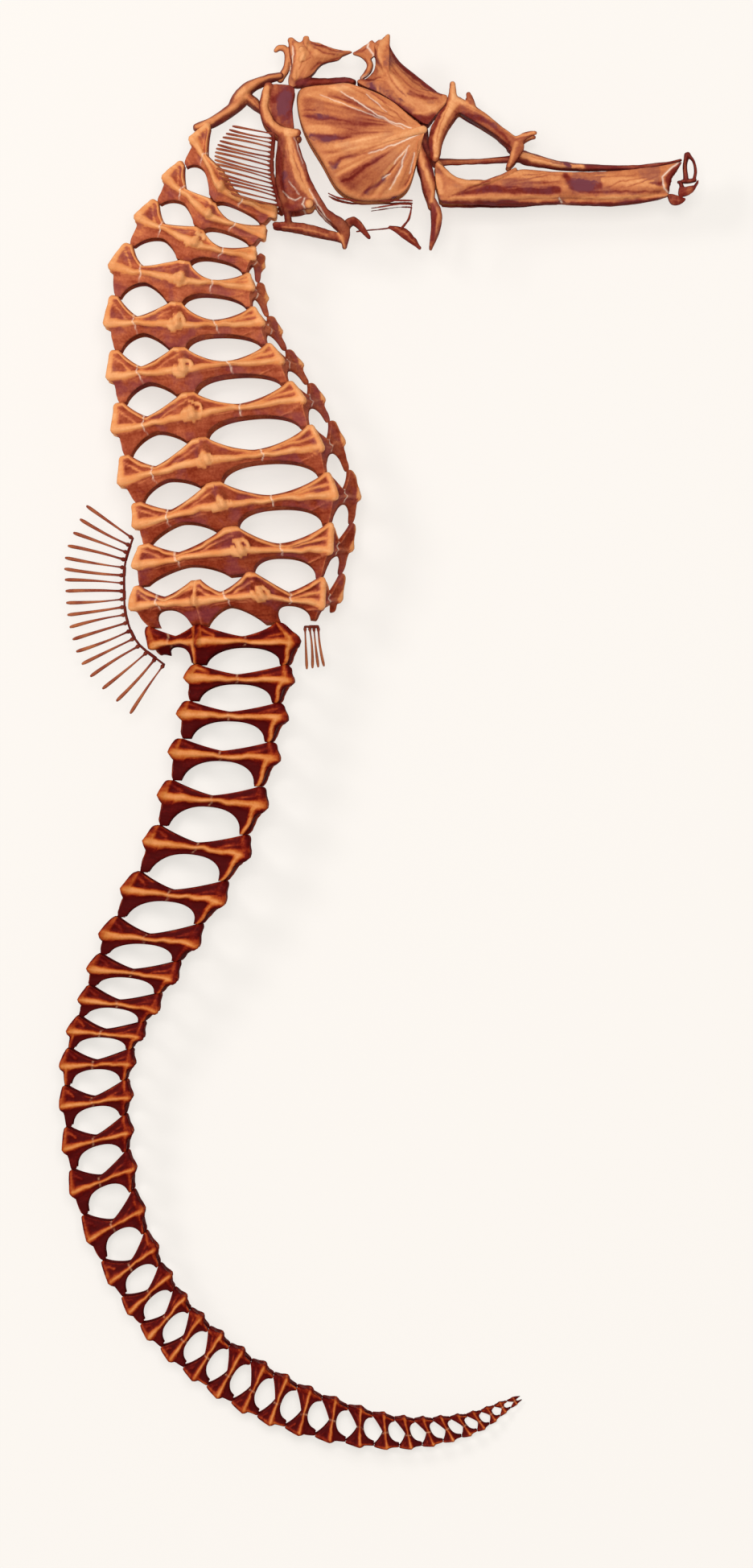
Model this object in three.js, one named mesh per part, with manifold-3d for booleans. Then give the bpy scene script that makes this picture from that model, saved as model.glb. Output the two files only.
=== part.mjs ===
// Skeleton of a lined seahorse, lying on its left side: right side up, head to the top, snout to the right.
// Millimetres. X runs towards the snout, Y towards the crown, Z up from the floor it lies on.
// The armour is one bony ring behind the other. Each ring is a band that runs round the body over its
// lengthwise ridges: wide where it meets its neighbours on a ridge, narrow between two ridges, so that
// the rings leave lens-shaped windows between them. The skull is made of struts and thin webs.
import * as THREE from "three";
import Module from "manifold-3d";
import { mergeVertices } from "three/addons/utils/BufferGeometryUtils.js";

const wasm = await Module();
wasm.setup();

// ---------------------------------------------------------------- driving dimensions
const TRUNK_RINGS = 11;
const LAST_RING = 47; // 11 trunk rings and 36 tail rings
const TIP_FROM = 39; // the nine smallest tail rings are one solid piece
const SMALL_FROM = 19; // tail rings from here on are drawn with fewer faces
const FIRST_KEEL = 3; // the keel along the belly starts on the third ring

// Trunk ridges as seen from the side: ring, then x and y of the dorsal, lateral, ventral and keel ridges.
const TRUNK_STATIONS = [
  [1, -19.7, 63.9, -16.9, 58.2, -10.9, 55.3, -10.4, 54.9],
  [3, -25.6, 55.4, -19.3, 52.4, -12.9, 50.9, -12.1, 50.2],
  [4, -28.3, 50.2, -20.8, 48.6, -13.0, 47.7, -11.7, 46.8],
  [5, -28.8, 44.2, -21.2, 43.9, -11.9, 44.0, -10.2, 43.3],
  [7, -28.0, 32.9, -19.6, 34.4, -7.6, 36.0, -5.7, 36.2],
  [8, -27.3, 27.4, -18.2, 29.7, -5.6, 31.0, -3.6, 31.8],
  [9, -25.8, 22.9, -16.5, 25.1, -4.2, 26.0, -2.0, 26.0],
  [11, -26.3, 14.5, -11.9, 15.7, -5.6, 14.6, -3.9, 15.4],
];
const LAST_DORSAL = [-24.3, 10.5]; // the dorsal trunk ridge ends on the first tail ring
const FIRST_SUPERIOR = [-19.8, 15.0]; // the superior tail ridge starts on the last trunk ring

// Tail: ring, x and y of its centre, depth from superior to inferior ridge, and the angle of that line.
const TAIL_STATIONS = [
  [12, -14.1, 10.7, 11.1, 0],
  [15, -16.4, -1.3, 11.4, -3],
  [17, -19.3, -11.1, 11.0, -7],
  [19, -24.3, -20.7, 10.3, -5],
  [21, -27.5, -27.6, 8.3, -7],
  [23, -29.8, -34.0, 7.7, 2],
  [26, -29.2, -46.3, 7.2, 22],
  [28, -26.0, -55.3, 6.2, 37],
  [31, -20.4, -63.1, 5.8, 54],
  [35, -10.6, -69.8, 5.3, 70],
  [39, 0.8, -73.1, 3.7, 96],
  [43, 9.2, -72.5, 2.6, 124],
  [47, 14.6, -70.0, 0.8, 120],
];

// Half widths of the body at each ridge: ring, half width.
const DORSAL_HALF = [[1, 1.9], [5, 2.9], [9, 3.3], [11, 2.6], [12, 1.7]];
const LATERAL_HALF = [
  [1, 3.9], [3, 4.9], [5, 6.0], [7, 7.0], [9, 7.2], [11, 5.9], [12, 5.1], [13, 4.6],
  [19, 4.2], [26, 3.0], [35, 2.2], [43, 1.1], [47, 0.4],
];
const SUPERIOR_HALF = [
  [11, 4.3], [12, 4.4], [13, 4.3], [19, 4.0], [26, 2.9], [35, 2.2], [43, 1.1], [47, 0.4],
];
const VENTRAL_HALF = [[1, 2.0], [5, 3.6], [9, 4.4], [11, 3.0]];

const JOINT_GAP = 0.22; // between the plates of two neighbouring rings
const MAX_PLATE = 0.62; // thickness of the armour plates
const PLATE_SHARE = 0.11; // and its share of the half width on small rings, at least
const HEAD_LIFT = 6.6; // height of the head's middle plane over the floor
const FLAT = 0.12; // depth of the small flats that the bones lie on
const FINEST = 0.04; // smaller details than this are left out where pieces are joined

// ---------------------------------------------------------------- curves
const lerp = (a, b, s) => a + (b - a) * s;

// Cubic through rows [t, ...values], flat slopes from neighbours; holds the end slopes beyond the ends.
function curve(rows, column = 1) {
  const t = rows.map((r) => r[0]);
  const v = rows.map((r) => r[column]);
  const slope = t.map((_, i) => {
    const a = Math.max(0, i - 1);
    const b = Math.min(t.length - 1, i + 1);
    return (v[b] - v[a]) / (t[b] - t[a]);
  });
  return (x) => {
    const last = t.length - 1;
    if (x <= t[0]) return v[0] + (x - t[0]) * slope[0];
    if (x >= t[last]) return v[last] + (x - t[last]) * slope[last];
    let i = 0;
    while (x > t[i + 1]) i += 1;
    const h = t[i + 1] - t[i];
    const s = (x - t[i]) / h;
    const s2 = s * s;
    const s3 = s2 * s;
    return (
      (2 * s3 - 3 * s2 + 1) * v[i] +
      (s3 - 2 * s2 + s) * h * slope[i] +
      (3 * s2 - 2 * s3) * v[i + 1] +
      (s3 - s2) * h * slope[i + 1]
    );
  };
}

const tailX = curve(TAIL_STATIONS, 1);
const tailY = curve(TAIL_STATIONS, 2);
const tailDepth = curve(TAIL_STATIONS, 3);
const tailAngle = curve(TAIL_STATIONS, 4);

// The end of the tail's cross line: side -1 is the superior ridge, +1 the inferior one.
function tailCorner(ring, side) {
  const a = THREE.MathUtils.degToRad(tailAngle(ring));
  const half = (side * tailDepth(ring)) / 2;
  return [tailX(ring) + half * Math.cos(a), tailY(ring) + half * Math.sin(a)];
}

// One ridge's rows [ring, x, y]: trunk stations by curve, tail rings by their cross line.
function ridgeRows(column, tailSide, extra) {
  const rows = [];
  if (column !== null) {
    const x = curve(TRUNK_STATIONS, column);
    const y = curve(TRUNK_STATIONS, column + 1);
    for (let r = 1; r <= TRUNK_RINGS; r += 1) rows.push([r, x(r), y(r)]);
  }
  if (extra) rows.push(extra);
  if (tailSide !== null)
    for (let r = 12; r <= LAST_RING; r += 1) rows.push([r, ...tailCorner(r, tailSide)]);
  return rows;
}

function makeRidge(rows, half, tip) {
  const x = curve(rows, 1);
  const y = curve(rows, 2);
  const z = half ? curve(half) : () => 0;
  return { at: (t) => new THREE.Vector3(x(t), y(t), z(t)), tip };
}

const tailTip = (t) => 0.085 * tailDepth(Math.max(t, 12));
const RIDGES = {
  D: makeRidge(ridgeRows(1, null, [12, ...LAST_DORSAL]), DORSAL_HALF, () => 0.8),
  S: makeRidge(ridgeRows(null, -1, [11, ...FIRST_SUPERIOR]), SUPERIOR_HALF, tailTip),
  M: makeRidge(ridgeRows(3, 1), LATERAL_HALF, (t) => (t < 12 ? 0.75 : tailTip(t) * 0.8)),
  V: makeRidge(ridgeRows(5, null), VENTRAL_HALF, () => 0.6),
  K: makeRidge(ridgeRows(7, null), null, () => 0.35),
};

const tailCentre = (t) => new THREE.Vector3(tailX(t), tailY(t), 0);
const trunkCentre = (t) => {
  const d = RIDGES.D.at(t);
  const v = RIDGES.V.at(t);
  return new THREE.Vector3(lerp(d.x, v.x, 0.5), lerp(d.y, v.y, 0.5), 0);
};
const centre = (t) => {
  const share = THREE.MathUtils.smoothstep(t, 10.8, 12);
  return trunkCentre(Math.min(t, 12)).lerp(tailCentre(Math.max(t, 10)), share);
};

// Where the joint ahead of a ring lies, in rings ahead of its tubercles. Most of a front tail ring is behind them.
const jointAhead = curve([[1, 0.5], [11, 0.5], [12, 0.43], [13, 0.39], [17, 0.39], [20, 0.49], [21, 0.5], [LAST_RING, 0.5]]);

// A ridge's point at ring coordinate t, where offset is how far it is from the ring's own middle. The ridge
// sinks by the tubercle's height, and further towards the ring's back edge, which lies under the next ring's
// front edge. The tubercle rises along the whole front half and drops steeply behind its point.
const SETTLED = 0.9; // share of a tubercle's height that the ridge sinks ahead of it
const TRUNK_STEP = 1.05; // and the further share at the back edge of a trunk ring
const TAIL_STEP = 0.35;
const DROP_LENGTH = 0.15; // rings
function ridgePoint(name, side, t, offset, onRidge = true) {
  const ridge = RIDGES[name];
  const p = ridge.at(t);
  const out = p.clone().sub(centre(t)).normalize();
  const step = t > 11.8 || name === "K" ? TAIL_STEP : TRUNK_STEP;
  const sunk = SETTLED + step * Math.max(0, offset / 0.5);
  const along = offset < 0 ? 1 + offset / 0.45 : 1 - offset / DROP_LENGTH;
  const rise = onRidge ? SETTLED * Math.max(0, along) : 0;
  p.addScaledVector(out, -ridge.tip(t) * (sunk - rise));
  p.z *= side;
  return p;
}

// The body's middle plane sinks towards the tail's tip, so that the side tubercles lie on the floor.
const liftRows = [[-1, HEAD_LIFT], [3, HEAD_LIFT + 0.2], [5, HEAD_LIFT + 0.6]];
for (let r = 7; r <= LAST_RING; r += 1) {
  const sides = r > TRUNK_RINGS ? ["S", "M"] : ["M"];
  liftRows.push([r, Math.max(...sides.map((n) => ridgePoint(n, 1, r, 0).z))]);
}
const lift = curve(liftRows);

// ---------------------------------------------------------------- solids
function toSolid(geometry) {
  const bare = geometry.index ? geometry.toNonIndexed() : geometry.clone();
  bare.deleteAttribute("normal");
  bare.deleteAttribute("uv");
  const merged = mergeVertices(bare, 1e-5);
  return new wasm.Manifold(
    new wasm.Mesh({
      numProp: 3,
      vertProperties: new Float32Array(merged.attributes.position.array),
      triVerts: new Uint32Array(merged.index.array),
    }),
  );
}

function toGeometry(solid) {
  const mesh = solid.getMesh();
  const flat = new Float32Array(mesh.numVert * 3);
  for (let i = 0; i < mesh.numVert; i += 1)
    flat.set(mesh.vertProperties.subarray(i * mesh.numProp, i * mesh.numProp + 3), i * 3);
  const geometry = new THREE.BufferGeometry();
  geometry.setAttribute("position", new THREE.BufferAttribute(flat, 3));
  geometry.setIndex(new THREE.BufferAttribute(new Uint32Array(mesh.triVerts), 1));
  return geometry;
}

// Solid from a closed skin of points [x, y, z] and faces, turned so that the faces look outwards.
function closed(points, faces) {
  const geometry = new THREE.BufferGeometry();
  geometry.setAttribute("position", new THREE.BufferAttribute(new Float32Array(points.flat()), 3));
  geometry.setIndex(faces);
  const solid = toSolid(geometry);
  if (solid.volume() > 0) return solid;
  const turned = [];
  for (let i = 0; i < faces.length; i += 3) turned.push(faces[i], faces[i + 2], faces[i + 1]);
  geometry.setIndex(turned);
  return toSolid(geometry);
}

// Closed mesh from sections of equal point count; a loop joins the last section to the first.
function skin(sections, loop) {
  const n = sections[0].length;
  const points = sections.flat();
  const faces = [];
  const count = sections.length;
  for (let i = 0; i < (loop ? count : count - 1); i += 1)
    for (let j = 0; j < n; j += 1) {
      const a = i * n + j;
      const b = i * n + ((j + 1) % n);
      const c = ((i + 1) % count) * n + j;
      const d = ((i + 1) % count) * n + ((j + 1) % n);
      faces.push(a, c, b, b, c, d);
    }
  if (!loop)
    for (let j = 1; j < n - 1; j += 1) {
      faces.push(0, j, j + 1);
      const e = (count - 1) * n;
      faces.push(e, e + j + 1, e + j);
    }
  return closed(points.map((p) => [p.x, p.y, p.z]), faces);
}

// ---------------------------------------------------------------- armour rings
// Between two ridges a ring's front and back edges draw in to leave a window. It lies between two shares of the
// face's width. Each edge is nearest the ring's middle at its own share, and there that far from it, in rings.
const FACES = {
  DD: { from: 0.15, to: 0.85, front: [0.5, 0.17], back: [0.5, 0.17], steps: [0, 0.5] },
  DM: { from: 0.14, to: 0.79, front: [0.36, 0.16], back: [0.45, 0.21], steps: [0, 0.2, 0.4, 0.7] },
  MV: { from: 0.08, to: 0.9, front: [0.47, 0.12], back: [0.43, 0.13], steps: [0, 0.18, 0.46, 0.8] },
  VK: { from: 0.1, to: 0.9, front: [0.5, 0.14], back: [0.5, 0.14], steps: [0, 0.5] },
  DS: { from: 0.2, to: 0.8, front: [0.5, 0.16], back: [0.5, 0.16], steps: [0, 0.25, 0.5, 0.75] },
  tail: { from: 0.08, to: 0.92, front: [0.48, 0.12], back: [0.5, 0.16], steps: [0, 0.18, 0.5, 0.82] },
  small: { from: 0.07, to: 0.93, front: [0.5, 0.14], back: [0.5, 0.14], steps: [0, 0.5] },
};

// How far a ring's edge is from its middle at share u of a face, in rings, where its joint is at limit: the
// front edge is a V, the back edge an arch.
function reach(face, edge, u, limit, joint) {
  const [apex, waist] = face[edge];
  const x = u < apex ? (apex - u) / (apex - face.from) : (u - apex) / (face.to - apex);
  if (x >= 1) return limit - joint;
  const depth = edge === "front" ? (1 - x ** 1.2) ** 0.95 : (1 - x ** 2.2) ** 0.6;
  return limit - Math.max((limit - waist) * depth, joint);
}

function loopOf(ring) {
  if (ring < FIRST_KEEL)
    return [["D", 1, "DM"], ["M", 1, "MV"], ["V", 1, "VK"], ["V", -1, "MV"], ["M", -1, "DM"], ["D", -1, "DD"]];
  if (ring < TRUNK_RINGS)
    return [["D", 1, "DM"], ["M", 1, "MV"], ["V", 1, "VK"], ["K", 1, "VK"], ["V", -1, "MV"], ["M", -1, "DM"], ["D", -1, "DD"]];
  if (ring === TRUNK_RINGS)
    return [
      ["D", 1, "DS"], ["S", 1, "DM"], ["M", 1, "VK"], ["V", 1, "VK"], ["K", 1, "VK"],
      ["V", -1, "VK"], ["M", -1, "DM"], ["S", -1, "DS"], ["D", -1, "DD"],
    ];
  if (ring === TRUNK_RINGS + 1)
    return [["D", 1, "DS"], ["S", 1, "tail"], ["M", 1, "tail"], ["M", -1, "tail"], ["S", -1, "DS"], ["D", -1, "DD"]];
  const kind = ring < SMALL_FROM ? "tail" : "small";
  return [["S", 1, kind], ["M", 1, kind], ["M", -1, kind], ["S", -1, kind]];
}

function ringSolid(ring, frontGap = JOINT_GAP, backGap = JOINT_GAP) {
  const loop = loopOf(ring);
  const pitch = centre(ring + 0.5).distanceTo(centre(ring - 0.5));
  const plate = Math.min(MAX_PLATE, Math.max(0.34 * RIDGES.M.at(ring).z, PLATE_SHARE));
  const bar = plate * 0.45; // the cross bar stands proud of the plates
  const sections = [];
  const frontJoint = jointAhead(ring);
  const backJoint = 1 - jointAhead(ring + 1);
  loop.forEach(([name, side, kind], i) => {
    const [next, nextSide] = loop[(i + 1) % loop.length];
    const face = FACES[kind];
    const reversed = side < 0; // the left side's faces run the other way
    const steps = reversed ? [0, ...face.steps.slice(1).map((u) => 1 - u).reverse()] : face.steps;
    for (const u of steps) {
      const share = reversed ? 1 - u : u;
      const ahead = reach(face, "front", share, frontJoint, frontGap / pitch / 2);
      const behind = reach(face, "back", share, backJoint, backGap / pitch / 2);
      const point = (offset) => {
        const t = ring + offset;
        const near = ridgePoint(name, side, t, offset, u === 0);
        const p = near.lerp(ridgePoint(next, nextSide, t, offset, false), u);
        const out = p.clone().sub(centre(t)).normalize();
        p.z += lift(t);
        return { p, out };
      };
      const front = point(-ahead);
      const middle = point(0);
      const back = point(behind);
      const raised = u === 0 ? 0 : bar;
      const section = [
        front.p,
        middle.p.clone().addScaledVector(middle.out, raised),
        back.p,
        back.p.clone().addScaledVector(back.out, -plate),
        front.p.clone().addScaledVector(front.out, -plate),
      ];
      sections.push(section);
    }
  });
  return skin(sections, true);
}

const BONE = new THREE.MeshStandardMaterial({ color: 0xb9722f, roughness: 0.55, metalness: 0 });
const DARK_BONE = new THREE.MeshStandardMaterial({ color: 0x6e2a1a, roughness: 0.55, metalness: 0 });

const nodes = [];
function addNode(name, solid, material = BONE) {
  nodes.push({ name, material, solid: solid.translate([0, 0, -FLAT]).trimByPlane([0, 0, 1], 0) });
}

const two = (n) => String(n).padStart(2, "0");
for (let r = 1; r < TIP_FROM; r += 1) {
  const name = r <= TRUNK_RINGS ? `trunk_ring_${two(r)}` : `tail_ring_${two(r - TRUNK_RINGS)}`;
  addNode(name, ringSolid(r));
}

// The smallest rings in one piece: a square taper, drawn in at each joint between two rings.
const NOTCH = 0.8; // size of the section at a joint
const tipSections = [];
for (let k = 0; k <= 2 * (LAST_RING - TIP_FROM) + 1; k += 1) {
  const t = TIP_FROM - 0.42 + k / 2;
  const size = k % 2 === 1 ? 1 : NOTCH;
  const axis = centre(t);
  const corners = [["S", 1], ["M", 1], ["M", -1], ["S", -1]].map(([name, side]) => {
    const p = ridgePoint(name, side, t, 0).sub(axis).multiplyScalar(size).add(axis);
    p.z += lift(t);
    return p;
  });
  tipSections.push(corners);
}
addNode("tail_tip", skin(tipSections, false));

// ---------------------------------------------------------------- skull, girdle and fins
// Heights here are over the head's middle plane, HEAD_LIFT above the floor.

// Tapered limb through rows [x, y, z, radius in plan, radius in height].
function limb(rows, sides = 4) {
  const centres = rows.map((r) => new THREE.Vector3(r[0], r[1], r[2]));
  const sections = centres.map((c, i) => {
    const before = centres[Math.max(0, i - 1)];
    const after = centres[Math.min(rows.length - 1, i + 1)];
    const along = after.clone().sub(before).normalize();
    const up = Math.abs(along.z) > 0.85 ? new THREE.Vector3(1, 0, 0) : new THREE.Vector3(0, 0, 1);
    const across = along.clone().cross(up).normalize();
    const over = across.clone().cross(along).normalize();
    const radius = rows[i][3];
    const rise = rows[i][4] ?? radius;
    return Array.from({ length: sides }, (_, k) => {
      const a = (2 * Math.PI * (k + 0.5)) / sides;
      return c
        .clone()
        .addScaledVector(across, radius * Math.cos(a))
        .addScaledVector(over, rise * Math.sin(a));
    });
  });
  return skin(sections, false);
}

// Plate over an outline of rows [x, y, z of the outer face], domed towards a hub [x, y, z].
// The inner face is a plate's thickness below, or the mirror image where the thickness is null.
function plateOf(rows, hub, thickness, steps = [1, 0.55]) {
  const n = rows.length;
  const outer = [];
  for (const s of steps)
    for (const r of rows) {
      const z = lerp(hub[2], r[2], s * s);
      outer.push([lerp(hub[0], r[0], s), lerp(hub[1], r[1], s), z]);
    }
  outer.push(hub);
  const inner = outer.map(([x, y, z]) => [x, y, thickness === null ? -z : z - thickness]);
  const faces = [];
  const half = outer.length;
  for (let j = 0; j < n; j += 1) {
    const k = (j + 1) % n;
    for (let i = 0; i < steps.length; i += 1) {
      const a = i * n + j;
      const b = i * n + k;
      if (i + 1 < steps.length) {
        const c = a + n;
        const d = b + n;
        faces.push(a, b, c, b, d, c, a + half, c + half, b + half, b + half, c + half, d + half);
      } else {
        faces.push(a, b, half - 1, a + half, 2 * half - 1, b + half);
      }
    }
    faces.push(j, j + half, k, k, j + half, k + half);
  }
  return closed([...outer, ...inner], faces);
}

const joined = (...solids) => wasm.Manifold.union(solids).simplify(FINEST);
const mirrored = (solid) => solid.mirror([0, 0, 1]);
const raised = (solid) => solid.translate([0, 0, HEAD_LIFT]);

// Braincase: thin crest above, wide floor over the gill covers, spine on top and a strut in front of it.
const cranium = joined(
  plateOf(
    [
      [1.0, 75.1, 0.4], [1.5, 73.2, 0.5], [4.0, 70.4, 0.9], [6.6, 68.4, 1.8], [7.3, 67.3, 2.2],
      [5.5, 65.2, 2.5], [3.9, 65.9, 2.9], [1.7, 67.9, 3.1], [-2.1, 69.8, 2.6], [-0.7, 70.9, 1.3],
      [-0.1, 72.6, 0.7], [-0.5, 74.2, 0.5],
    ],
    [2.4, 69.3, 2.6],
    null,
  ),
  limb([[-2.7, 72.9, 0, 0.25, 0.5], [-1.5, 73.0, 0, 0.4, 0.6], [-0.6, 74.0, 0, 0.35, 0.5]], 4),
  limb([[-1.2, 73.2, 0, 0.35, 0.5], [-0.7, 71.8, 0, 0.35, 0.6], [-1.4, 70.0, 0, 0.4, 0.8]], 4),
);

// Coronet: an upright plate with two knobs and a long arm, lateral points, a hook behind, and its base bar.
const coronetPoint = limb([[-7.6, 72.9, 0.8, 0.7], [-8.3, 73.9, 2.6, 0.45], [-8.9, 74.3, 3.9, 0.25]], 4);
const coronet = joined(
  plateOf(
    [
      [-9.4, 74.3, 0.6], [-8.6, 73.9, 0.8], [-7.6, 74.6, 0.6], [-6.2, 73.9, 0.7], [-4.6, 73.2, 0.5],
      [-2.95, 73.0, 0.35], [-5.6, 71.8, 0.6], [-6.9, 70.9, 0.8], [-8.2, 69.4, 1.0], [-9.3, 69.4, 1.0],
      [-9.0, 71.6, 0.8], [-9.5, 73.5, 0.6],
    ],
    [-8.0, 72.4, 1.5],
    null,
  ),
  coronetPoint,
  mirrored(coronetPoint),
  limb([[-8.7, 69.7, 0, 0.45, 1.2], [-6.0, 69.9, 0, 0.5, 1.6], [-2.6, 69.8, 0, 0.45, 1.9]], 6),
  limb([
    [-9.0, 71.0, 0, 0.5, 0.7], [-9.9, 70.9, 0, 0.4, 0.6], [-9.8, 72.2, 0, 0.35, 0.5],
    [-10.1, 73.4, 0, 0.4, 0.5], [-10.9, 73.1, 0, 0.25, 0.4],
  ]),
);

// Nape: saddle-shaped plates from the first body ring up to the coronet.
const nape = joined(
  limb([
    [-19.1, 65.0, 0, 0.45, 1.6], [-17.4, 65.6, 0, 0.6, 1.7], [-15.4, 66.9, 0, 0.65, 1.8],
    [-14.6, 67.9, 0, 0.9, 1.9], [-13.7, 69.1, 0, 0.7, 2.0], [-11.6, 70.1, 0, 0.5, 1.8],
    [-10.3, 70.4, 0, 0.4, 1.3],
  ], 6),
  limb([[-14.6, 68.6, 0, 0.5, 1.6], [-13.2, 67.7, 0, 0.6, 2.0], [-12.1, 66.6, 0, 0.4, 2.2]], 6),
);

// Shoulder girdle, one side: column and dark web above, two-stranded shaft below, foot, spike and spur.
const girdleSide = joined(
  limb([
    [-11.5, 69.2, 2.3, 0.5, 0.45], [-12.1, 67.0, 2.8, 0.5], [-11.3, 65.2, 3.3, 0.6], [-10.0, 64.2, 3.8, 0.6],
    [-8.5, 64.3, 4.2, 0.5],
  ]),
  plateOf(
    [[-11.3, 69.3, 2.3], [-8.8, 69.2, 2.3], [-8.9, 67.0, 2.9], [-8.9, 64.5, 3.7], [-10.6, 64.8, 3.4], [-11.9, 67.0, 2.7]],
    [-10.2, 67.0, 2.9],
    0.5,
    [1],
  ),
  limb([
    [-9.9, 64.1, 3.9, 0.5], [-10.4, 61.0, 4.3, 0.45, 0.55], [-10.4, 58.0, 4.3, 0.45, 0.55], [-9.7, 56.2, 3.9, 0.5],
    [-7.5, 56.7, 3.7, 0.65],
  ]),
  limb([
    [-9.2, 63.9, 4.0, 0.5], [-7.9, 61.2, 4.1, 0.5], [-6.9, 58.8, 3.9, 0.45], [-5.3, 56.0, 3.2, 0.5],
    [-3.4, 54.2, 1.6, 0.7], [-3.6, 52.4, 0.9, 0.3],
  ]),
  plateOf(
    [[-9.9, 63.5, 4.2], [-7.9, 60.8, 4.3], [-7.0, 58.4, 4.1], [-7.2, 56.9, 3.9], [-9.6, 56.4, 4.1], [-10.4, 60.0, 4.4]],
    [-8.8, 59.6, 4.5],
    0.5,
    [1],
  ),
  limb([[-10.9, 55.2, 1.9, 0.5], [-8.0, 54.6, 1.8, 0.6, 0.5], [-3.6, 53.6, 1.0, 0.5]]),
  limb([[-9.8, 56.2, 3.8, 0.45], [-9.6, 55.0, 1.9, 0.45]], 4),
  limb([[-3.4, 54.6, 1.3, 0.5], [-2.4, 55.0, 0.8, 0.4], [-0.9, 53.3, 0.5, 0.25]], 4),
);

// Gill cover: a fan domed outwards, hinged at its front corner.
const opercleRows = [
  [-8.4, 68.8, 2.7], [-7.0, 69.3, 2.6], [-3.5, 69.5, 2.6], [-0.2, 68.4, 3.2], [1.7, 67.3, 3.5],
  [3.4, 65.6, 3.9], [5.0, 64.8, 4.1], [5.0, 63.9, 4.2], [4.0, 62.8, 4.2], [3.9, 60.3, 3.8],
  [3.1, 58.2, 3.3], [1.7, 57.3, 2.9], [-0.6, 57.0, 2.8], [-2.7, 57.3, 2.9], [-4.4, 58.4, 3.1],
  [-5.9, 61.1, 3.3], [-7.4, 63.6, 3.2], [-8.2, 65.6, 3.0], [-8.6, 67.7, 2.8],
];
const opercle = plateOf(opercleRows, [-1.2, 63.6, 5.0], 0.6);

// Preopercle: strut beside the gill cover and the spine that hangs under the cheek.
const preopercle = joined(
  limb([
    [4.5, 63.3, 3.5, 0.3, 0.35], [4.9, 61.6, 3.6, 0.5], [5.3, 59.2, 3.6, 0.65, 0.6], [5.6, 57.2, 3.5, 0.7, 0.6],
    [5.8, 56.3, 3.3, 0.35, 0.4], [5.9, 55.2, 3.2, 0.75, 0.5], [5.6, 53.8, 2.9, 0.5, 0.4], [5.3, 52.0, 2.5, 0.25],
  ]),
);

// Eye socket rim: limb behind the eye, bony brow with two points, lacrimal with its spine in front.
const orbit = joined(
  limb([[7.9, 69.5, 2.9, 0.3], [8.1, 68.6, 2.7, 0.4], [8.3, 67.4, 2.6, 0.8, 0.6]]),
  limb([
    [8.4, 67.3, 2.6, 0.8, 0.6], [7.0, 65.8, 3.1, 0.7, 0.5], [6.1, 63.9, 3.5, 0.6, 0.5], [5.85, 61.75, 3.5, 0.45],
  ]),
  limb([
    [8.2, 67.3, 2.6, 0.75, 0.6], [10.4, 66.3, 2.8, 0.75, 0.5], [12.8, 64.5, 2.6, 0.65, 0.5], [14.7, 63.1, 2.3, 0.7, 0.5],
    [14.5, 61.8, 2.1, 0.45], [13.9, 60.9, 2.0, 0.3],
  ]),
  limb([[10.1, 66.5, 2.8, 0.45], [9.6, 68.5, 3.1, 0.25]], 4),
  limb([[14.6, 63.0, 2.3, 0.5], [15.5, 63.7, 2.5, 0.4], [16.6, 64.3, 2.9, 0.22]], 4),
);

// Roof of the snout, from the brow to the mouth, and the rod that crosses the bottom of the eye socket.
const snoutRoof = joined(
  limb([
    [8.9, 66.6, 0, 0.3, 1.7], [12.0, 64.6, 0, 0.35, 1.8], [14.7, 62.7, 0, 0.6, 1.5], [16.4, 61.5, 0, 0.6, 1.45],
    [20.0, 60.95, 0, 0.5, 1.2], [24.5, 60.9, 0, 0.3, 0.95], [28.5, 61.15, 0, 0.22, 0.8], [32.0, 61.8, 0, 0.25, 0.7],
  ], 6),
  limb([[5.9, 61.2, 0, 0.35, 1.0], [9.0, 61.0, 0, 0.3, 0.5], [13.4, 61.1, 0, 0.4, 0.6], [16.0, 61.4, 0, 0.4, 1.0]], 4),
  limb([[5.9, 61.2, 0, 0.5, 1.4], [4.6, 63.4, 0, 0.6, 1.8], [4.7, 65.2, 0, 0.5, 1.9]], 4),
);

// Side of the snout: rows of upper x, y, lower x, y, then the outer face's height at top, middle and bottom.
const SNOUT_ROWS = [
  [6.8, 57.6, 6.8, 56.8, 3.2, 3.3, 3.1],
  [10.6, 59.0, 10.2, 56.7, 2.6, 3.1, 2.3],
  [14.7, 60.35, 14.4, 56.6, 2.1, 2.7, 1.3],
  [19.3, 60.2, 19.3, 56.95, 1.7, 2.2, 0.8],
  [24.6, 60.3, 24.6, 56.7, 1.4, 1.9, 0.7],
  [28.9, 60.75, 28.4, 57.1, 1.3, 1.8, 0.7],
  [32.2, 61.35, 30.7, 57.8, 1.1, 1.6, 0.8],
];
function snoutSide(thickness) {
  const sections = SNOUT_ROWS.map(([xt, yt, xb, yb, top, mid, bottom]) => {
    const at = (s, z) => new THREE.Vector3(lerp(xt, xb, s), lerp(yt, yb, s), z);
    const inner = Math.max(0.1, bottom - thickness);
    return [
      at(0, top), at(0.3, mid), at(0.75, mid), at(1, bottom),
      at(1, inner), at(0.75, mid - thickness), at(0.3, mid - thickness), at(0, top - thickness),
    ];
  });
  return skin(sections, false);
}
const cheek = joined(
  snoutSide(0.6),
  plateOf(
    [
      [6.1, 61.2, 3.4], [6.8, 60.8, 3.4], [7.5, 59.9, 3.3], [8.9, 59.25, 3.2], [11.2, 59.0, 2.9], [9.5, 57.4, 3.1],
      [6.8, 57.2, 3.4], [6.5, 58.8, 3.6],
    ],
    [7.4, 58.6, 3.6],
    0.6,
    [1],
  ),
);

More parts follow.
